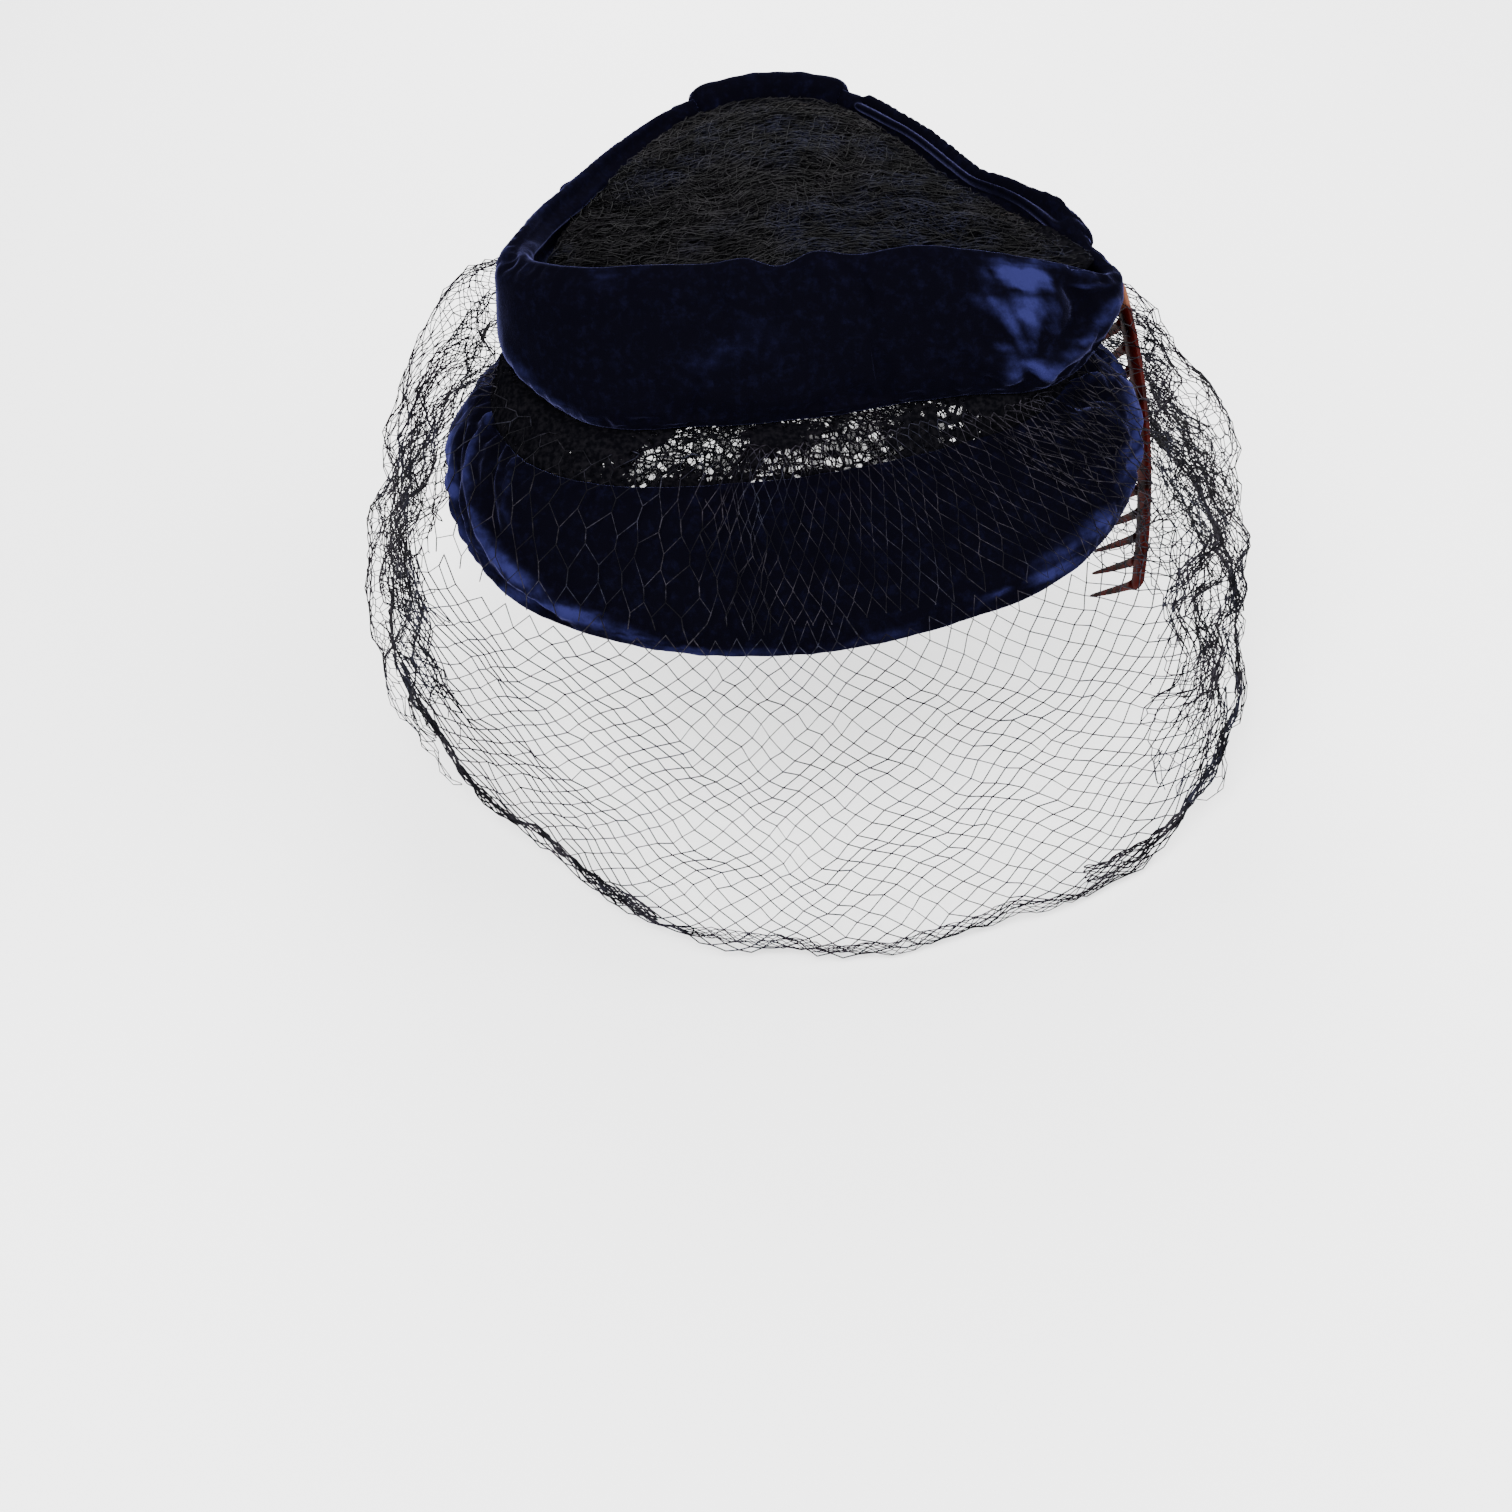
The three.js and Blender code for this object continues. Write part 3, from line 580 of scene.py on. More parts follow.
def foldField(folds, turn, reach, at):
    # how far the folds lift the cloth, and how far they brush the nap up, which is also painted highlight
    # along the ridges and painted shade where it is negative
    lift, napAndSheenRaised = np.zeros(at.shape), np.zeros(at.shape)
    girth = np.ptp(at, axis=1)[:, None]
    for width, height, brushedAndSheen, line in folds:
        line = np.array(line, float)
        middle = line.mean(axis=0)
        perDegree = np.radians(np.interp(middle[0], turn, reach, period=360))
        x = shortestTurn(turn - middle[0])[:, None] * perDegree
        y = (at - middle[1] + girth / 2) % girth - girth / 2
        knots = (line - middle) * (perDegree, 1)
        steps = np.diff(knots, axis=0)
        lengths = np.hypot(*steps.T)
        gap, walked = np.full(at.shape, np.inf), np.zeros(at.shape)
        for start, step, length, before in zip(knots, steps, lengths, np.cumsum(lengths) - lengths):
            share = np.clip(((x - start[0]) * step[0] + (y - start[1]) * step[1]) / length**2, 0, 1)
            found = np.hypot(x - start[0] - share * step[0], y - start[1] - share * step[1])
            walked = np.where(found < gap, before + share * length, walked)
            gap = np.minimum(found, gap)
        ends = np.minimum(walked, lengths.sum() - walked) / (fold["fadeWidths"] * width)
        ends = smoothed(np.clip(ends, 0, 1))
        away = gap / width
        groove = fold["groove"] * np.exp(-(away - fold["grooveAway"]) ** 2 * fold["grooveFall"])
        lift += height * ends * (np.exp(-away**2) - groove)
        napAndSheenRaised += brushedAndSheen * ends * np.exp(-away**2 * fold["napAndSheenFall"])
    return lift, napAndSheenRaised


def dressSkin(band, points, turn):
    # folds and crush on the settled skin, and the nap they brush up, with its painted highlights and shades
    at = fromEdge(points)
    reach = np.linalg.norm(points.mean(axis=1)[:, :2] - np.array([0, bandAxisY]), axis=1)
    lift, napAndSheenRaised = foldField(band["folds"], turn, reach, at)
    angle, drum = np.radians(turn)[:, None], napAndSheen["streakReach"]
    drawn = [drum * np.cos(angle) + 0 * at, drum * np.sin(angle) + 0 * at, at * napAndSheen["streakSqueeze"]]
    streaks = layered(np.stack(drawn, axis=-1), napAndSheen["streaks"])
    crush = layered(points, napAndSheen["crush"]) * band["crush"]
    points = points + gridNormals(points) * (lift + crush)[..., None]
    napAndSheenRaised = napAndSheenRaised * np.clip(napAndSheen["even"] + napAndSheen["streaked"] * streaks, *napAndSheen["limits"])
    return points, napAndSheenRaised + napAndSheen["bare"] * streaks


def makeBand(name, band):
    turn = np.linspace(0, 360, band["stations"], endpoint=False)
    points = bandSkin(band, turn)
    rise = (np.sin(sectionAngles(band["around"])) - cover["looseFrom"]) * cover["looseRise"]
    loose = np.tile(np.clip(rise, 0, 1), (len(turn), 1))
    low, high = band["tight"]
    loose[(turn >= low) & (turn <= high)] = 0
    points = settleCover(points, loose)
    points = refine(points)
    turn = np.linspace(0, 360, len(points), endpoint=False)
    points, napAndSheenRaised = dressSkin(band, points, turn)
    obj = makeObject(name, points, gridFaces(*points.shape[:2]))
    faceOut(obj)
    # the nap attribute holds the brushed pile and the folds' painted highlight and shade
    writeAttribute(obj, "napAndSheen", napAndSheenRaised)
    obj.data.materials.append(velvetLook)
    return obj


brimPiece = makeBand("brim_velvet", brim)
upperPiece = makeBand("upper_band_velvet", upperBand)
print("velvet bands made")

knot = {
    "start": 161,
    "end": 193,
    "gap": 0.35,
    "wall": 2.4,
    "steps": 64,
    "around": 120,
    "edgeWall": 0.05,
    "roll": 0.09,  # the share of the length over which each end rolls in
    "gathers": [(0.6, 3.3, 0.1, 7, 0), (0.4, 6.7, 0.14, 5, 2)],  # depth, count, sway, sway length, phase
    "gatherDepth": 0.16,
    "crush": [(1, 7, 3), (0.5, 3, 4)],
    "crushDepth": 0.2,
    # the nap colour: an even part, plus painted highlight where gathers and crush raise the skin and painted
    # shade in their hollows
    "napAndSheen": {"even": 0.08, "gathers": 0.14, "crush": 0.2},
}


def makeKnot():
    # a sleeve round the upper band: its ends roll in, and gathers run round it
    turn = np.linspace(knot["start"], knot["end"], knot["steps"])
    share = np.linspace(0, 1, knot["steps"])[:, None]
    under = bandSkin({**upperBand, "around": knot["around"]}, turn)
    at = fromEdge(under)
    edge = np.minimum(share, 1 - share) / knot["roll"]
    rolled = np.sqrt(1 - (1 - np.clip(edge, 0, 1)) ** 2)
    gathers = sum(
        depth * np.cos(2 * np.pi * (count * share + sway * np.sin(at / length + phase)))
        for depth, count, sway, length, phase in knot["gathers"])
    crush = layered(under, knot["crush"])
    rise = rolled * (knot["wall"] + knot["gatherDepth"] * gathers + knot["crushDepth"] * crush)
    away = unit(under - under.mean(axis=1, keepdims=True))
    skin = under + away * (knot["gap"] + knot["edgeWall"] + rise)[..., None]
    inner = under + away * knot["gap"]
    rows, count = at.shape
    faces = gridFaces(rows, count, closedRows=False)
    inside, last = rows * count, (rows - 1) * count
    faces += [face[::-1] for face in gridFaces(rows, count, closedRows=False, first=inside)]
    for a in range(count):
        b = (a + 1) % count
        faces.append((b, a, a + inside, b + inside))
        faces.append((a + last, b + last, b + last + inside, a + last + inside))
    obj = makeObject("back_knot_velvet", np.vstack([skin.reshape(-1, 3), inner.reshape(-1, 3)]), faces)
    faceOut(obj)
    # painted highlight on the raised gathers and crush, painted shade in the hollows; the inner face gets
    # none
    napAndSheenRaised = knot["napAndSheen"]["even"] + knot["napAndSheen"]["gathers"] * gathers + knot["napAndSheen"]["crush"] * crush
    writeAttribute(obj, "napAndSheen", np.concatenate([napAndSheenRaised.ravel(), 0 * napAndSheenRaised.ravel()]))
    obj.data.materials.append(velvetLook)
    return obj


knotPiece = makeKnot()
print("knot made")


# netting: a wire lattice laid on a surface becomes strands by Geometry Nodes

def strandTree():
    tree = bpy.data.node_groups.new("strands along edges", "GeometryNodeTree")
    sockets = [
        ("Lattice", "INPUT", "NodeSocketGeometry"), ("Strand radius", "INPUT", "NodeSocketFloat"),
        ("Strand sides", "INPUT", "NodeSocketInt"), ("Wander", "INPUT", "NodeSocketFloat"),
        ("Wander scale", "INPUT", "NodeSocketFloat"), ("Seed", "INPUT", "NodeSocketFloat"),
        ("Look", "INPUT", "NodeSocketMaterial"), ("Strands", "OUTPUT", "NodeSocketGeometry"),
    ]
    for name, way, kind in sockets:
        tree.interface.new_socket(name, in_out=way, socket_type=kind)

    def add(kind, settings=None, values=None):
        node = tree.nodes.new(kind)
        for name, setting in (settings or {}).items():
            setattr(node, name, setting)
        for name, value in (values or {}).items():
            if isinstance(value, bpy.types.NodeSocket):
                tree.links.new(value, node.inputs[name])
            else:
                node.inputs[name].default_value = value
        return node

    given = add("NodeGroupInput")
    wave = add(
        "ShaderNodeTexNoise", {"noise_dimensions": "4D"},
        {"Scale": given.outputs["Wander scale"], "W": given.outputs["Seed"], "Detail": 1.0},
    )
    centred = add(
        "ShaderNodeVectorMath", {"operation": "SUBTRACT"},
        {0: wave.outputs["Color"], 1: (0.5, 0.5, 0.5)},
    )
    offset = add(
        "ShaderNodeVectorMath", {"operation": "SCALE"},
        {0: centred.outputs[0], "Scale": given.outputs["Wander"]},
    )
    moved = add(
        "GeometryNodeSetPosition", {},
        {"Geometry": given.outputs["Lattice"], "Offset": offset.outputs[0]},
    )
    curves = add("GeometryNodeMeshToCurve", {}, {"Mesh": moved.outputs[0]})
    profile = add(
        "GeometryNodeCurvePrimitiveCircle", {},
        {"Resolution": given.outputs["Strand sides"], "Radius": given.outputs["Strand radius"]},
    )
    tubes = add(
        "GeometryNodeCurveToMesh", {},
        {"Curve": curves.outputs[0], "Profile Curve": profile.outputs[0], "Fill Caps": True},
    )
    real = add("GeometryNodeRealizeInstances", {}, {"Geometry": tubes.outputs[0]})
    smooth = add("GeometryNodeSetShadeSmooth", {}, {"Geometry": real.outputs[0]})
    dressed = add(
        "GeometryNodeSetMaterial", {},
        {"Geometry": smooth.outputs[0], "Material": given.outputs["Look"]},
    )
    add("NodeGroupOutput", {}, {"Strands": dressed.outputs[0]})
    return tree


strands = strandTree()
strandSides = 3


def makeStrands(name, layers, look):
    # layers are (points, edges, radius, wander, wander scale, seed); all of them become one piece
    parts = []
    for points, edges, radius, wander, scale, seed in layers:
        obj = makeObject(name, points, [], edges)
        modifier = obj.modifiers.new("strands", "NODES")
        modifier.node_group = strands
        values = {
            "Strand radius": radius * mm, "Strand sides": strandSides, "Wander": wander * mm,
            "Wander scale": scale / mm, "Seed": seed, "Look": look,
        }
        for item in strands.interface.items_tree:
            if item.name in values:
                modifier[item.identifier] = values[item.name]
        evaluated = obj.evaluated_get(bpy.context.evaluated_depsgraph_get())
        parts.append(bpy.data.meshes.new_from_object(evaluated))
        bpy.data.objects.remove(obj)
    corners, faces = [], []
    for mesh in parts:
        first = len(corners)
        corners += [v.co[:] for v in mesh.vertices]
        faces += [[first + i for i in face.vertices] for face in mesh.polygons]
        bpy.data.meshes.remove(mesh)
    piece = makeObject(name, np.array(corners) / mm, faces)
    piece.data.materials.append(look)
    print(name, len(faces), "faces")
    return piece


def netRows(columns, rows, joint):
    # a net as zigzag lines, with the short strands that join them as lines of their own;
    # joint is the short strand's share of a row's height, one for each half column
    column, row = np.meshgrid(np.arange(2 * columns + 1), np.arange(rows + 1))
    up = (column + row) % 2 == 0
    rise = np.where(up, 0.5, -0.5) * (1 - joint)
    spots = np.stack([column / 2, row + rise], axis=-1)
    index = np.arange(column.size).reshape(column.shape)
    zigzags = np.stack([index[:, :-1].ravel(), index[:, 1:].ravel()], axis=1)
    ends = np.concatenate([spots[:-1][up[:-1]], spots[1:][up[:-1]]])
    if np.max(joint) == 0:
        return spots.reshape(-1, 2), zigzags
    half = len(ends) // 2
    joints = column.size + np.stack([np.arange(half), half + np.arange(half)], axis=1)
    return np.concatenate([spots.reshape(-1, 2), ends]), np.concatenate([zigzags, joints])


def keepOnly(points, edges, keep):
    index = np.cumsum(keep) - 1
    inside = keep[edges].all(axis=1)
    return points[keep], index[edges[inside]]


def turnedFlat(flat, angle):
    angle = math.radians(angle)
    return flat @ np.array([[math.cos(angle), math.sin(angle)], [-math.sin(angle), math.cos(angle)]])


crownNet = {
    "hubZ": 4.0,
    "puff": 3.0,
    "puffShare": 0.58,
    "wallGap": 1.2,
    "line": {  # how far the path stands in from the bands, and below them
        "footIn": 7, "shoulderIn": 0.8, "underIn": 2, "shoulderDown": 0.3, "footDown": 1.2, "underDown": 0.2,
        "seatDown": 0.2,
    },
    "reach": 100,
    "seamShare": 0.64,  # the share of the reach where the netting meets the upper band
    "seamRise": 7,
    "bumps": {"height": 1.3, "scale": 16, "seed": 7},
    "cellSlant": 0.866,  # a row's height as a share of a cell's width
    "rowsPerCell": 1.15,
    "netWaves": 0.35,
    "nets": {
        "columns": ("angle", "cell", "joint", "height", "radius", "wander", "low", "high"),
        "rows": [
            (6, 2.6, 0.5, 0.3, 0.2, 1.3, 0.55, 1.0), (52, 3.2, 0.5, -0.5, 0.2, 1.5, 0.66, 1.0),
            (21, 2.4, 0.2, -0.5, 0.11, 1.3, 0.62, 1.0),
        ],
    },
    "fibres": {
        "columns": ("angle", "pitch", "step", "height", "radius", "wander", "low", "high"),
        "rows": [
            (5, 1.1, 2.4, 0.9, 0.14, 2.4, 0.0, 0.71), (-23, 1.3, 2.4, 0.6, 0.14, 2.8, 0.0, 0.71),
            (31, 1.3, 2.4, 0.2, 0.15, 2.8, 0.0, 0.71), (-6, 1.05, 2.4, -0.3, 0.17, 2.8, 0.0, 0.71),
            (14, 1.15, 2.5, -0.7, 0.18, 2.4, 0.0, 0.71), (76, 2.8, 2.6, 0.8, 0.14, 3.0, 0.0, 0.71),
        ],
    },
    "mat": {
        "seed": 11, "missing": 0.04, "scatter": 0.22, "lift": 0.25, "sway": (2.4, 13), "ripple": (1.2, 5),
        "waves": 0.4, "firstSeed": 20.0,
    },
}


def crownPath(turn):
    # from the hub out over the crown, down inside the upper band, under it and to the brim's upper edge
    band = smoothTable(upperBand["table"], turn)
    brimAt = bandFrame(brim["table"], turn)
    wall = band["thick"] / 2 + crownNet["wallGap"]
    hub = crownNet["hubZ"]
    levelShare = (hub - band["lowerZ"]) / np.maximum(band["upperZ"] - band["lowerZ"], hub - band["lowerZ"])
    level = band["lowerReach"] + (band["upperReach"] - band["lowerReach"]) * levelShare
    line = crownNet["line"]
    foot = np.minimum(band["lowerReach"] - wall, brimAt["upperReach"] - line["footIn"])
    shoulder = np.minimum(level, band["lowerReach"]) - wall - line["shoulderIn"]
    under = np.minimum(band["lowerReach"] + band["thick"] / 2, brimAt["upperReach"] - line["underIn"])
    footZ = band["lowerZ"] - line["footDown"]
    zero = 0 * turn
    return np.stack([
        place(turn, zero, hub + zero), place(turn, shoulder * 0.5, hub + zero),
        place(turn, shoulder, hub + zero - line["shoulderDown"]), place(turn, foot, footZ),
        place(turn, under, footZ - line["underDown"]), brimAt["upper"] - brimAt["down"] * line["seatDown"],
    ], axis=1)


def alongPath(path, share):
    # points at a share of the way along each path
    lengths = np.linalg.norm(np.diff(path, axis=1), axis=-1)
    total = np.concatenate([np.zeros((len(path), 1)), np.cumsum(lengths, axis=1)], axis=1)
    total /= total[:, -1:]
    at = np.array([np.searchsorted(row, value, side="right") for row, value in zip(total, share)])
    at = np.clip(at - 1, 0, path.shape[1] - 2)
    line = np.arange(len(path))
    step = (share - total[line, at]) / np.maximum(total[line, at + 1] - total[line, at], 1e-9)
    return path[line, at] + (path[line, at + 1] - path[line, at]) * step[:, None]


def crownSpots(flat, height):
    # a flat disc of netting laid over the crown and down to the brim's inner edge
    share = np.linalg.norm(flat, axis=1) / crownNet["reach"]
    turn = np.degrees(np.arctan2(flat[:, 0], -flat[:, 1]))
    spots = alongPath(crownPath(turn), np.clip(share, 0, 1))
    top = np.clip((crownNet["seamShare"] - share) * crownNet["seamRise"], 0, 1)
    spots[:, 2] += crownNet["puff"] * np.clip(1 - (share / crownNet["puffShare"]) ** 2, 0, 1) + height * top
    bumps, level = crownNet["bumps"], np.stack([flat[:, 0], flat[:, 1], 0 * share], axis=1)
    spots[:, 2] += bumps["height"] * roughness(level, bumps["scale"], bumps["seed"]) * top
    return spots


def makeCrownNet():
    layers, size = [], crownNet["reach"]
    for seed, row in enumerate(crownNet["nets"]["rows"]):
        layer = dict(zip(crownNet["nets"]["columns"], row))
        count = math.ceil(2 * size / layer["cell"])
        spots, edges = netRows(count, round(count * crownNet["rowsPerCell"]), layer["joint"])
        cell = (layer["cell"], layer["cell"] * crownNet["cellSlant"])
        flat = turnedFlat((spots - spots.max(axis=0) / 2) * cell, layer["angle"])
        share = np.linalg.norm(flat, axis=1) / size
        flat, edges = keepOnly(flat, edges, (share <= layer["high"]) & (share >= layer["low"]))
        spots = crownSpots(flat, layer["height"])
        layers.append((spots, edges, layer["radius"], layer["wander"], crownNet["netWaves"], seed * 3.0))
    return makeStrands("crown_netting", layers, crownNetLook)


def makeCrownFibres():
    layers, size = [], crownNet["reach"]
    mat = crownNet["mat"]
    dice = np.random.default_rng(mat["seed"])
    for seed, row in enumerate(crownNet["fibres"]["rows"]):
        layer = dict(zip(crownNet["fibres"]["columns"], row))
        reach = size * layer["high"]
        x, y = np.meshgrid(np.arange(-reach, reach, layer["step"]), np.arange(-reach, reach, layer["pitch"]))
        index = np.arange(x.size).reshape(x.shape)
        edges = np.stack([index[:, :-1].ravel(), index[:, 1:].ravel()], axis=1)
        edges = edges[dice.random(len(edges)) > mat["missing"]]
        flat = np.stack([x.ravel(), y.ravel()], axis=1) + dice.normal(0, mat["scatter"], (x.size, 2))
        (sway, swayLength), (ripple, rippleLength) = mat["sway"], mat["ripple"]
        sway = sway * np.sin(x.ravel() / swayLength + seed)
        flat[:, 1] += sway + ripple * np.sin(x.ravel() / rippleLength + 2 * seed)
        flat = turnedFlat(flat, layer["angle"])
        flat, edges = keepOnly(flat, edges, np.linalg.norm(flat, axis=1) <= reach)
        spots = crownSpots(flat, layer["height"])
        spots[:, 2] += dice.normal(0, mat["lift"], len(spots))
        layers.append((
            spots, edges, layer["radius"], layer["wander"], mat["waves"], mat["firstSeed"] + seed))
    return makeStrands("crown_fibres", layers, fibreLook)


tulle = {
    "turns": 240,
    "steps": 44,
    "shares": (0.012, 0.985),  # of the netting's reach
    "thick": 0.5,
    "sink": 1.6,
    "recess": {"depth": 0.6, "from": 0.6, "rise": 6},  # it lies deeper under the netting past the seam
    "tuck": {"down": 2.5, "in": 0.28},  # the last row goes into the brim's upper edge
    "gap": {"from": 0.7, "rise": 12},  # the strip of netting that shows between the bands
    "front": {"turn": -4, "width": 36},
    "clusters": (13, 21),  # the scale and seed of its thicker and thinner places
    "openCrown": (0.3, 0.7),  # how open it is, and how much the clusters change that
    "openGap": (0.34, 0.5),
    "openFront": (0.85, 1.3),
}


def makeTulle():
    # a thin closed skin of fine tulle under the netting; "open" says where its holes let light through
    turn = np.linspace(-180, 180, tulle["turns"], endpoint=False)
    shares = np.linspace(*tulle["shares"], tulle["steps"])
    angle = np.radians(np.tile(turn, (tulle["steps"], 1)))
    share = np.tile(shares[:, None], (1, len(turn)))
    flat = (share * crownNet["reach"])[..., None] * np.stack([np.sin(angle), -np.cos(angle)], axis=-1)
    upper = crownSpots(flat.reshape(-1, 2), -tulle["sink"]).reshape(*share.shape, 3)
    across = np.roll(upper, -1, axis=1) - np.roll(upper, 1, axis=1)
    outward = unit(np.cross(across, np.gradient(upper, axis=0)))
    outward *= -np.sign(outward[0, :, 2].mean())
    recess, tuck, gap, front = (tulle[name] for name in ("recess", "tuck", "gap", "front"))
    sunk = recess["depth"] * np.clip((share - recess["from"]) * recess["rise"], 0, 1)
    upper = upper - outward * sunk[..., None]
    brimAt = bandFrame(brim["table"], turn)
    edge = brimAt["upper"] + brimAt["down"] * tuck["down"]
    upper = np.concatenate([upper, [edge - brimAt["outward"] * brimAt["thick"][:, None] * tuck["in"]]])
    outward, share, angle = (np.concatenate([grid, grid[-1:]]) for grid in (outward, share, angle))
    lower = upper - outward * tulle["thick"]
    rows = np.concatenate([upper, lower[::-1]])
    faces = gridFaces(len(rows), len(turn), closedRows=False) + capFaces(len(rows), len(turn))
    piece = makeObject("crown_tulle", rows, faces)
    faceOut(piece)
    gapShare = np.clip((share - gap["from"]) * gap["rise"], 0, 1)
    facing = np.exp(-((np.degrees(angle) - front["turn"]) / front["width"]) ** 4)
    clusters = roughness(upper, *tulle["clusters"])
    openness = (tulle["openCrown"], tulle["openGap"], tulle["openFront"])
    crown, strip, face = (even + change * clusters for even, change in openness)
    opened = np.clip(crown * (1 - gapShare) + gapShare * (strip + facing * face), 0, 1)
    opened[-1] = 0
    writeAttribute(piece, "open", np.concatenate([opened, opened[::-1]]))
    piece.data.materials.append(tulleLook)
    return piece


crownPiece = makeCrownNet()
fibrePiece = makeCrownFibres()
tullePiece = makeTulle()

veil = {
    "seatShare": 0.3,
    "seatRise": 1.2,
    "rollGap": 1.2,
    "fallStops": 6,
    "spreadShare": 0.55,  # the share of the fall by which the gathers have spread out
    "facing": (0, bandAxisY, -60),  # the layers stand off outwards from here
    "driftLimit": 6,
    "freeRise": 3,
    "cloth": (440, 125),  # the cloth's own length and depth, in which its unevenness is laid out
    "uneven": {  # the share it moves by, the scale, and what is added to the layer's seed
        "rows": (0.02, 22, 30), "columns": (0.006, 18, 40), "edges": (0.03, 9, 50),
        "hemRise": 8, "hemOver": 0.1,
    },
    "top": {
        "closed": False,
        "columns": ("turn", "lift", "crestReach", "crestZ"),
        "rows": [
            (-125, 8, 70, -10), (-104, 8, 75, -11), (-82, 6, 78, -15), (-64, 2, 83, -26), (-47, 1, 83, -31),
            (-28, 0.5, 76, -33.5), (0, 0.5, 72, -34), (26, 0.5, 75.5, -33.5), (44, 0.5, 82, -33),
            (62, 0.5, 85, -30), (82, 3, 81, -20), (102, 6, 76, -14), (120, 7, 70, -11.5),
        ],
    },
    "fall": {
        "closed": False,
        "columns": ("turn", "edgeReach", "edgeZ", "hemReach", "hemZ", "billow"),
        "rows": [
            (-125, 77, -20, 98, -79, 3), (-104, 83, -23, 105, -93, 4), (-82, 91, -30, 107, -106, 5),
            (-64, 97, -40, 99, -119, 5), (-47, 96, -48, 95, -125, 2), (-28, 91, -53, 99, -129, 0),
            (0, 88, -54, 103, -131, 0), (26, 91, -52.5, 107, -130, 0), (44, 96, -49, 115, -130, 2),
            (62, 97, -43.5, 118, -122, 5), (82, 95, -32.5, 117, -107, 6), (102, 87, -25.5, 112, -95, 5),
            (120, 79, -22, 105, -83, 4),
        ],
    },
    "gather": {  # the turn that each share of the columns is drawn to at the seat and at the hem
        "share": (0, 0.07, 0.16, 0.26, 0.36, 0.46, 0.56, 0.64, 0.72, 0.8, 0.88, 0.95, 1),
        "seat": (-125, -112, -92, -72, -44, -16, 3, 17, 31, 46, 63, 88, 120),
        "hem": (-125, -106, -84, -61, -38, -16, 4, 22, 40, 59, 80, 101, 120),
    },
    "crowd": {"row": (0, 0.03, 0.2, 0.86, 0.94, 1), "share": (0, 0.03, 0.36, 0.9, 0.97, 1)},
    "layers": {  # cells and rows are for the whole width; start to end and low to high are shares of it
        "columns": (
            "cells", "rows", "start", "end", "low", "high", "inset", "radius", "wander", "drift", "joint",
            "seed", "waves",
        ),
        "rows": [
            (60, 44, 0.19, 0.83, 0.31, 1.0, 0.0, 0.2, 3.0, 2.4, 0.0, 2, 0.18),
            (62, 31, 0.17, 0.51, 0.0, 0.35, -0.3, 0.16, 5.0, 1.6, 0.42, 3, 0.14),
            (76, 64, 0.46, 0.86, 0.0, 0.33, 0.0, 0.15, 2.2, 1.6, 0.1, 4, 0.16),
            (108, 42, 0.0, 0.25, 0.0, 1.0, 0.5, 0.15, 3.0, 13.0, 0.45, 5, 0.28),
            (96, 38, 0.02, 0.23, 0.25, 0.96, 4.5, 0.15, 3.4, 15.0, 0.45, 6, 0.26),
            (112, 43, 0.78, 1.0, 0.0, 1.0, 0.5, 0.15, 3.0, 12.0, 0.45, 8, 0.28),
            (104, 40, 0.77, 1.0, 0.05, 0.98, 4.0, 0.15, 3.2, 14.0, 0.45, 9, 0.28),
            (92, 36, 0.8, 0.98, 0.3, 0.93, 7.5, 0.15, 3.4, 15.0, 0.45, 10, 0.26),
        ],
    },
    "crumples": {  # the hem bunched into a dense edge
        "drift": 3.0, "inset": 0.3, "joint": 0.3, "depth": 20,
        "dip": (0.5, 0.9, 15),  # middle, sway and scale of how far the rows sag
        "blend": (0.7, 0.3),  # the parts that the row and its sag have in the place
        "wander": 2.2, "waves": 0.3,
        "columns": ("cells", "rows", "start", "end", "low", "high", "radius", "seed"),
        "rows": [
            (150, 7, 0.12, 0.42, 0.95, 1.0, 0.2, 12), (150, 6, 0.36, 0.74, 0.97, 1.0, 0.13, 13),
            (150, 8, 0.7, 1.0, 0.93, 1.0, 0.19, 14),
        ],
    },
}


def roundCorners(path):
    # cuts the corners of open paths and keeps their ends
    near, far = path[:, :-1] * 0.75 + path[:, 1:] * 0.25, path[:, :-1] * 0.25 + path[:, 1:] * 0.75
    inner = np.stack([near, far], axis=2).reshape(len(path), -1, 3)
    return np.concatenate([path[:, :1], inner, path[:, -1:]], axis=1)


def veilPath(turn):
    # from the seat on the crown net over the brim's edge and down to the hem
    top, fall = smoothTable(veil["top"], turn), smoothTable(veil["fall"], turn)
    brimAt = bandFrame(brim["table"], turn)
    seat = crownPath(turn)
    start = seat[:, 4] + (seat[:, 5] - seat[:, 4]) * veil["seatShare"]
    start[:, 2] += veil["seatRise"]
    roll = brimAt["upper"] + brimAt["outward"] * (brimAt["thick"] / 2 + veil["rollGap"])[:, None]
    roll[:, 2] += top["lift"]
    stops = [start, roll, place(turn, top["crestReach"], top["crestZ"])]
    for share in np.linspace(0, 1, veil["fallStops"]):
        reach = fall["edgeReach"] + (fall["hemReach"] - fall["edgeReach"]) * share
        z = fall["edgeZ"] + (fall["hemZ"] - fall["edgeZ"]) * share
        stops.append(place(turn, reach + fall["billow"] * math.sin(math.pi * share), z))
    return roundCorners(np.stack(stops, axis=1))


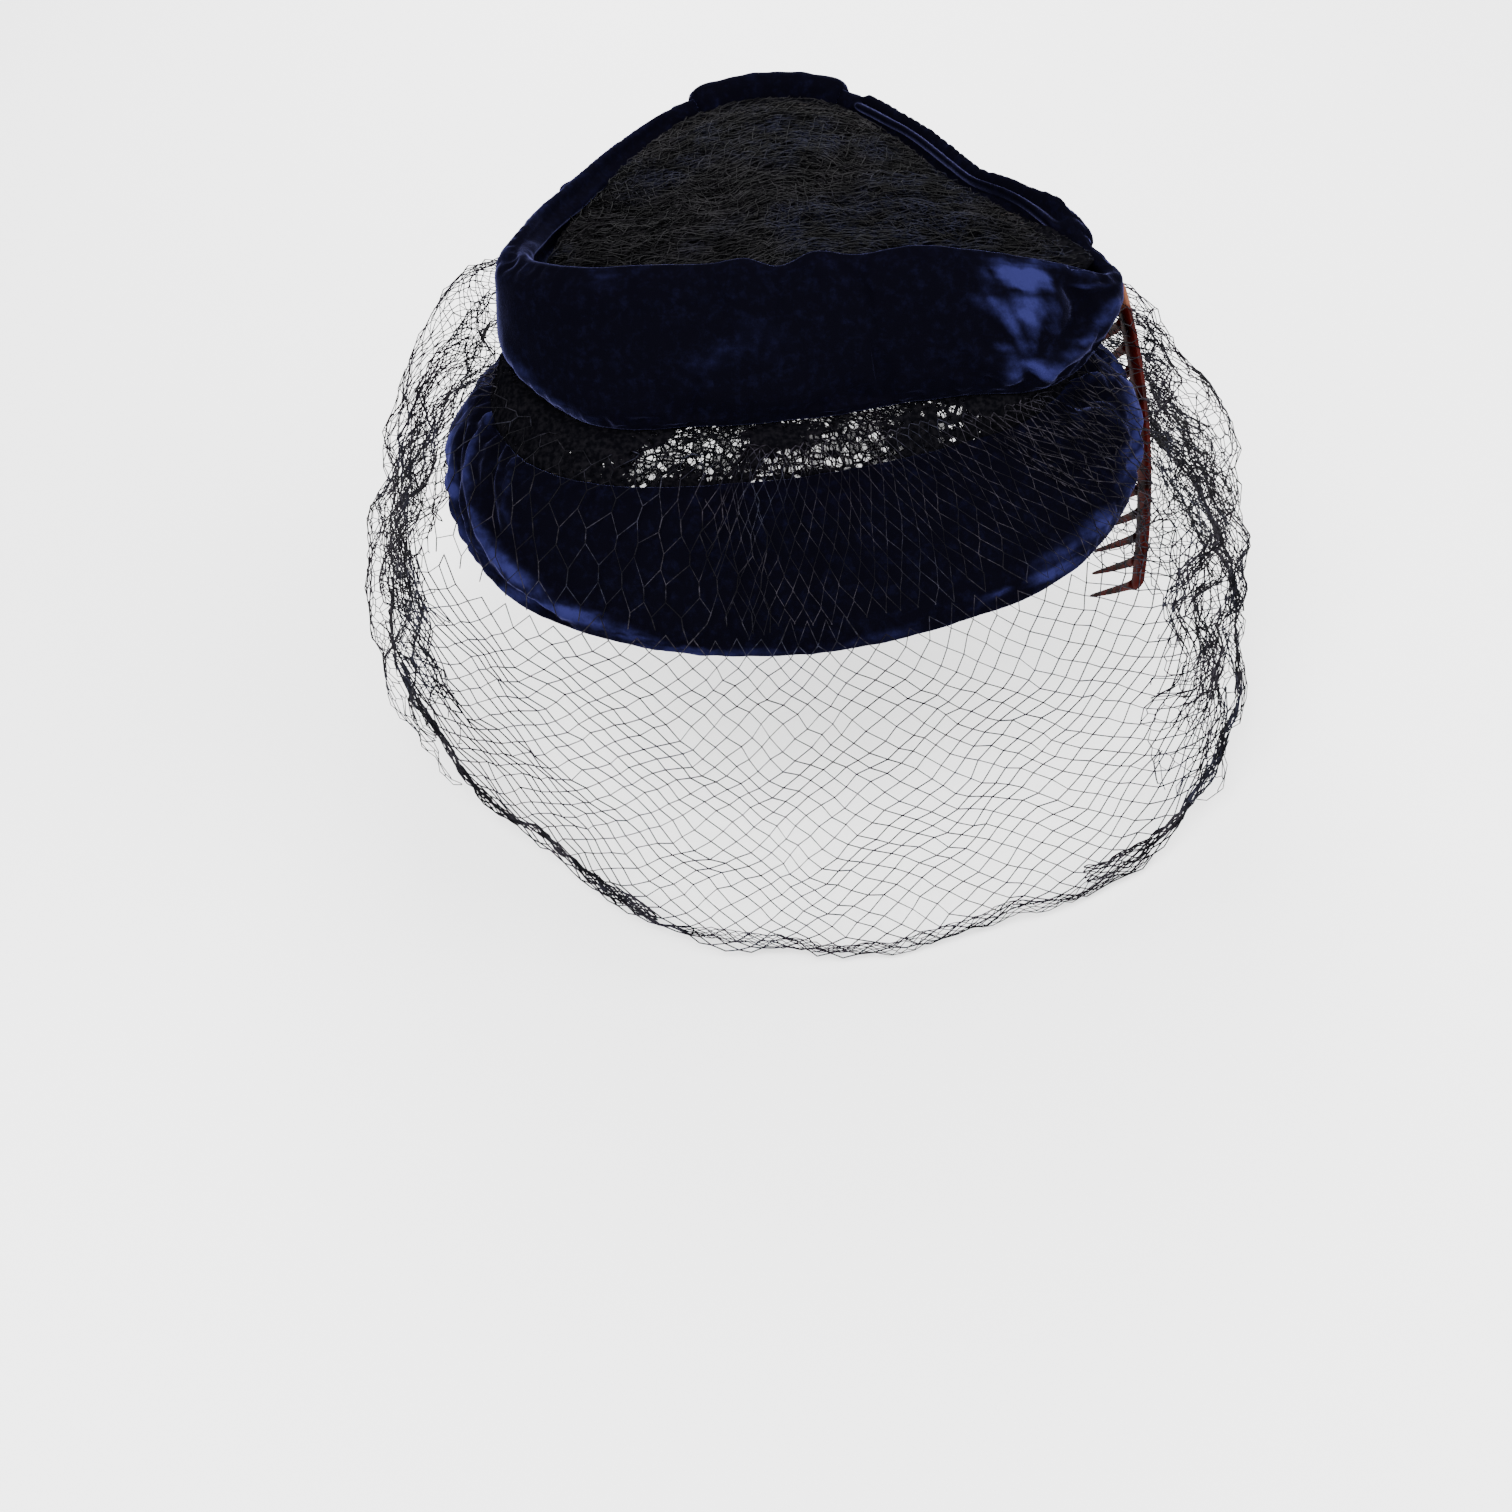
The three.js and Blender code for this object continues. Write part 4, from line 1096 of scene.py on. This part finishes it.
def veilSpots(columns, share, layer):
    # a flat net gathered at the seat, spread at the hem and crumpled in and out
    gather, limit = veil["gather"], veil["driftLimit"]
    seat = np.interp(columns, gather["share"], gather["seat"])
    hem = np.interp(columns, gather["share"], gather["hem"])
    spread = np.clip(share / veil["spreadShare"], 0, 1)
    turn = seat + (hem - seat) * spread * spread * (3 - 2 * spread)
    spots = alongPath(veilPath(turn), share)
    outward = unit(spots - np.array(veil["facing"]))
    drift = layer["drift"] * layered(spots, [(1, 17, layer["seed"]), (0.3, 8, 9)])
    drift = limit * np.tanh(drift / limit)
    free = np.clip(share * veil["freeRise"], 0, 1)
    return spots + outward * (free * (drift - layer["inset"]))[:, None]


def netOnCloth(layer, depth):
    # the net's columns and height as shares, the edges between its points, and its points on the flat cloth
    spots, edges = netRows(layer["cells"], layer["rows"], layer["joint"])
    columns = spots[:, 0] / layer["cells"]
    height = np.clip(spots[:, 1] / layer["rows"], 0, 1)
    return columns, height, edges, np.stack([columns * veil["cloth"][0], height * depth, 0 * height], axis=1)


def makeVeil():
    layers, uneven, crumples = [], veil["uneven"], veil["crumples"]

    def shift(name, flat, layer):
        amount, scale, seed = uneven[name]
        return amount * roughness(flat, scale, layer["seed"] + seed)

    def add(columns, share, layer, edges, keep):
        spots, edges = keepOnly(veilSpots(columns, share, layer), edges, keep)
        layers.append((spots, edges, layer["radius"], layer["wander"], layer["waves"], float(layer["seed"])))

    for row in veil["layers"]["rows"]:
        layer = dict(zip(veil["layers"]["columns"], row))
        columns, height, edges, flat = netOnCloth(layer, veil["cloth"][1])
        height = height + shift("rows", flat, layer) * np.clip(uneven["hemRise"] * (1 - height), 0, 1)
        columns = columns + shift("columns", flat, layer)
        share = np.clip(np.interp(height, veil["crowd"]["row"], veil["crowd"]["share"]), 0, 1)
        ragged = shift("edges", flat, layer)
        across, down = columns + ragged, share + ragged
        low, high = layer["low"], layer["high"] + uneven["hemOver"] * (layer["high"] == 1)
        keep = (across >= layer["start"]) & (across <= layer["end"]) & (down >= low) & (down <= high)
        add(np.clip(columns, 0, 1), share, layer, edges, keep)
    for row in crumples["rows"]:
        layer = {**crumples, **dict(zip(crumples["columns"], row))}
        columns, height, edges, flat = netOnCloth(layer, layer["depth"])
        middle, sway, scale = layer["dip"]
        dip = middle + sway * roughness(flat, scale, layer["seed"])
        even, sagging = layer["blend"]
        fallen = even * height + sagging * dip
        share = np.clip(layer["low"] + (layer["high"] - layer["low"]) * fallen, 0, 1)
        add(columns, share, layer, edges, (columns >= layer["start"]) & (columns <= layer["end"]))
    return makeStrands("veil_netting", layers, veilNetLook)


veilPiece = makeVeil()
print("netting made")

comb = {
    "middle": (85.4, -40, -43),
    "forward": (-0.03, -0.71, -0.7),
    "outward": (0.998, -0.01, -0.06),
    "rear": -38,
    "front": 36,
    "height": 9,
    "endDrop": 0.3,
    "thick": 2.6,
    "bend": 190,
    "toothBend": 160,
    "teeth": 13,
    "pitch": 5.76,
    "toothLength": 30,
    "toothShape": {"down": (0, 0.12, 0.6, 0.93, 0.985, 1), "width": (1.1, 0.8, 0.6, 0.34, 0.2, 0.02)},
    "toothRoot": 1.5,
    "around": 16,
    "spineRings": 72,
    "roundFrom": 0.94,  # the ends round off past this share of the half length
    "roundOver": 0.06,
    "litEndFrom": 29,  # behind the middle
    "litEndOver": 4,
}


def makeComb():
    # a rounded curved spine with tapered teeth; its rear end is painted a light amber, a painted highlight
    # where that end catches the light
    forward, outward = unit(np.array(comb["forward"])), unit(np.array(comb["outward"]))
    towardTips = unit(np.cross(outward, forward))
    angle = np.linspace(0, 2 * np.pi, comb["around"], endpoint=False)

    def tube(along, down, halfAlong, halfDown, halfOut):
        # rings round a line; each ring lies across the spine or across a tooth
        along = along[:, None] + halfAlong[:, None] * np.cos(angle)
        down = down[:, None] + halfDown[:, None] * np.cos(angle)
        sag = along**2 / (2 * comb["bend"]) + down**2 / (2 * comb["toothBend"])
        out = halfOut[:, None] * np.sin(angle) - sag
        ways = ((along, forward), (down, towardTips), (out, outward))
        return sum(np.multiply.outer(value, way) for value, way in ways) + comb["middle"]

    ends = np.sin(np.linspace(-np.pi / 2, np.pi / 2, comb["spineRings"]))
    along = (comb["front"] + comb["rear"]) / 2 + (comb["front"] - comb["rear"]) / 2 * ends
    rounded = np.clip((np.abs(ends) - comb["roundFrom"]) / comb["roundOver"], 0, 1)
    taper = np.sqrt(np.clip(1 - rounded**2, 0.0004, 1))
    low = comb["height"] * comb["endDrop"] * (1 - np.sqrt(1 - ends**2 * 0.999))
    half = (comb["height"] - low) / 2
    shells = [tube(along, low + half, 0 * along, half * taper, comb["thick"] / 2 * taper)]
    shape, root = comb["toothShape"], comb["toothRoot"]
    share = np.concatenate([np.linspace(0, 0.9, 12), np.linspace(0.92, 1, 6)])  # closer rings at the tips
    width = np.interp(share, shape["down"], shape["width"])
    down = comb["height"] - root + share * (comb["toothLength"] + root)
    for tooth in range(comb["teeth"]):
        at = (tooth - (comb["teeth"] - 1) / 2) * comb["pitch"] + 0 * share
        shells.append(tube(at, down, -width * comb["pitch"] / 4, 0 * share, width * comb["thick"] / 2))
    faces, first = [], 0
    for shell in shells:
        rows, count = shell.shape[:2]
        faces += gridFaces(rows, count, closedRows=False, first=first) + capFaces(rows, count, first)
        first += rows * count
    points = np.concatenate([shell.reshape(-1, 3) for shell in shells])
    piece = makeObject("side_comb_shell", points, faces)
    faceOut(piece)
    rear = -(points - comb["middle"]) @ forward
    inSpine = np.arange(len(points)) < shells[0].size // 3
    # the "clear" attribute marks the rear end for its painted highlight
    writeAttribute(piece, "clear", np.clip((rear - comb["litEndFrom"]) / comb["litEndOver"], 0, 1) * inSpine)
    piece.data.materials.append(combLook)
    return piece


combPiece = makeComb()
print("comb made")

for piece in (brimPiece, upperPiece, knotPiece, crownPiece, fibrePiece, tullePiece, veilPiece, combPiece):
    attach(piece, "root")
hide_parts("brim_band")
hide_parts("upper_band")
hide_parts("back_knot")
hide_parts("crown_net")
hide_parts("veil")
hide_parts("side_comb")


# floor, light and camera

studio = {
    "floorZ": -133.0,
    "floorTint": (0.98, 0.98, 0.985),
    "target": (-14, -85, -94),
    "elevation": 45,
    "roll": 5,
    "distance": 470,
    "sensor": 36,
    "focal": 1960 / 1512 * 36,
    "clip": (0.02, 20),
    "floorSize": 4000,
    "skyStrength": 1.8,
    "lights": [  # name, place, aim, size, power
        ("key", (-250, -500, 650), (0, -20, -60), 500, 15),
        ("fill", (550, -250, 450), (0, -20, -60), 600, 8),
        ("back light", (0, 650, 400), (0, 0, -40), 500, 10),
    ],
}


def makeFloor():
    size, z = studio["floorSize"], studio["floorZ"]
    corners = [(-size, -size, z), (size, -size, z), (size, size, z), (-size, size, z)]
    floor = makeObject("floor", corners, [(0, 1, 2, 3)], smooth=False)
    shader = Shader("pale floor")
    floor.data.materials.append(shader.finish(Base_Color=(*studio["floorTint"], 1), Roughness=0.9))


def areaLight(name, place, aim, size, power):
    light = bpy.data.lights.new(name, "AREA")
    light.size = size * mm
    light.energy = power
    lamp = bpy.data.objects.new(name, light)
    lamp.location = Vector(place) * mm
    lamp.rotation_euler = (Vector(aim) - Vector(place)).to_track_quat("-Z", "Y").to_euler()
    bpy.context.scene.collection.objects.link(lamp)


def makeCamera():
    elevation, roll = math.radians(studio["elevation"]), math.radians(studio["roll"])
    back = Vector((0, -math.cos(elevation), math.sin(elevation)))
    right, up = Vector((1, 0, 0)), Vector((0, math.sin(elevation), math.cos(elevation)))
    x = math.cos(roll) * right - math.sin(roll) * up
    y = math.sin(roll) * right + math.cos(roll) * up
    data = bpy.data.cameras.new("camera")
    data.lens = studio["focal"]
    data.sensor_width = studio["sensor"]
    data.clip_start, data.clip_end = studio["clip"]
    camera = bpy.data.objects.new("camera", data)
    turned = Matrix((x, y, back)).transposed().to_4x4()
    turned.translation = (Vector(studio["target"]) + back * studio["distance"]) * mm
    camera.matrix_world = turned
    bpy.context.scene.collection.objects.link(camera)
    bpy.context.scene.camera = camera


makeFloor()
for light in studio["lights"]:
    areaLight(*light)
world = bpy.data.worlds.new("studio")
world.use_nodes = True
world.node_tree.nodes["Background"].inputs["Color"].default_value = (1, 1, 1, 1)
world.node_tree.nodes["Background"].inputs["Strength"].default_value = studio["skyStrength"]
bpy.context.scene.world = world
makeCamera()
print("stage set")
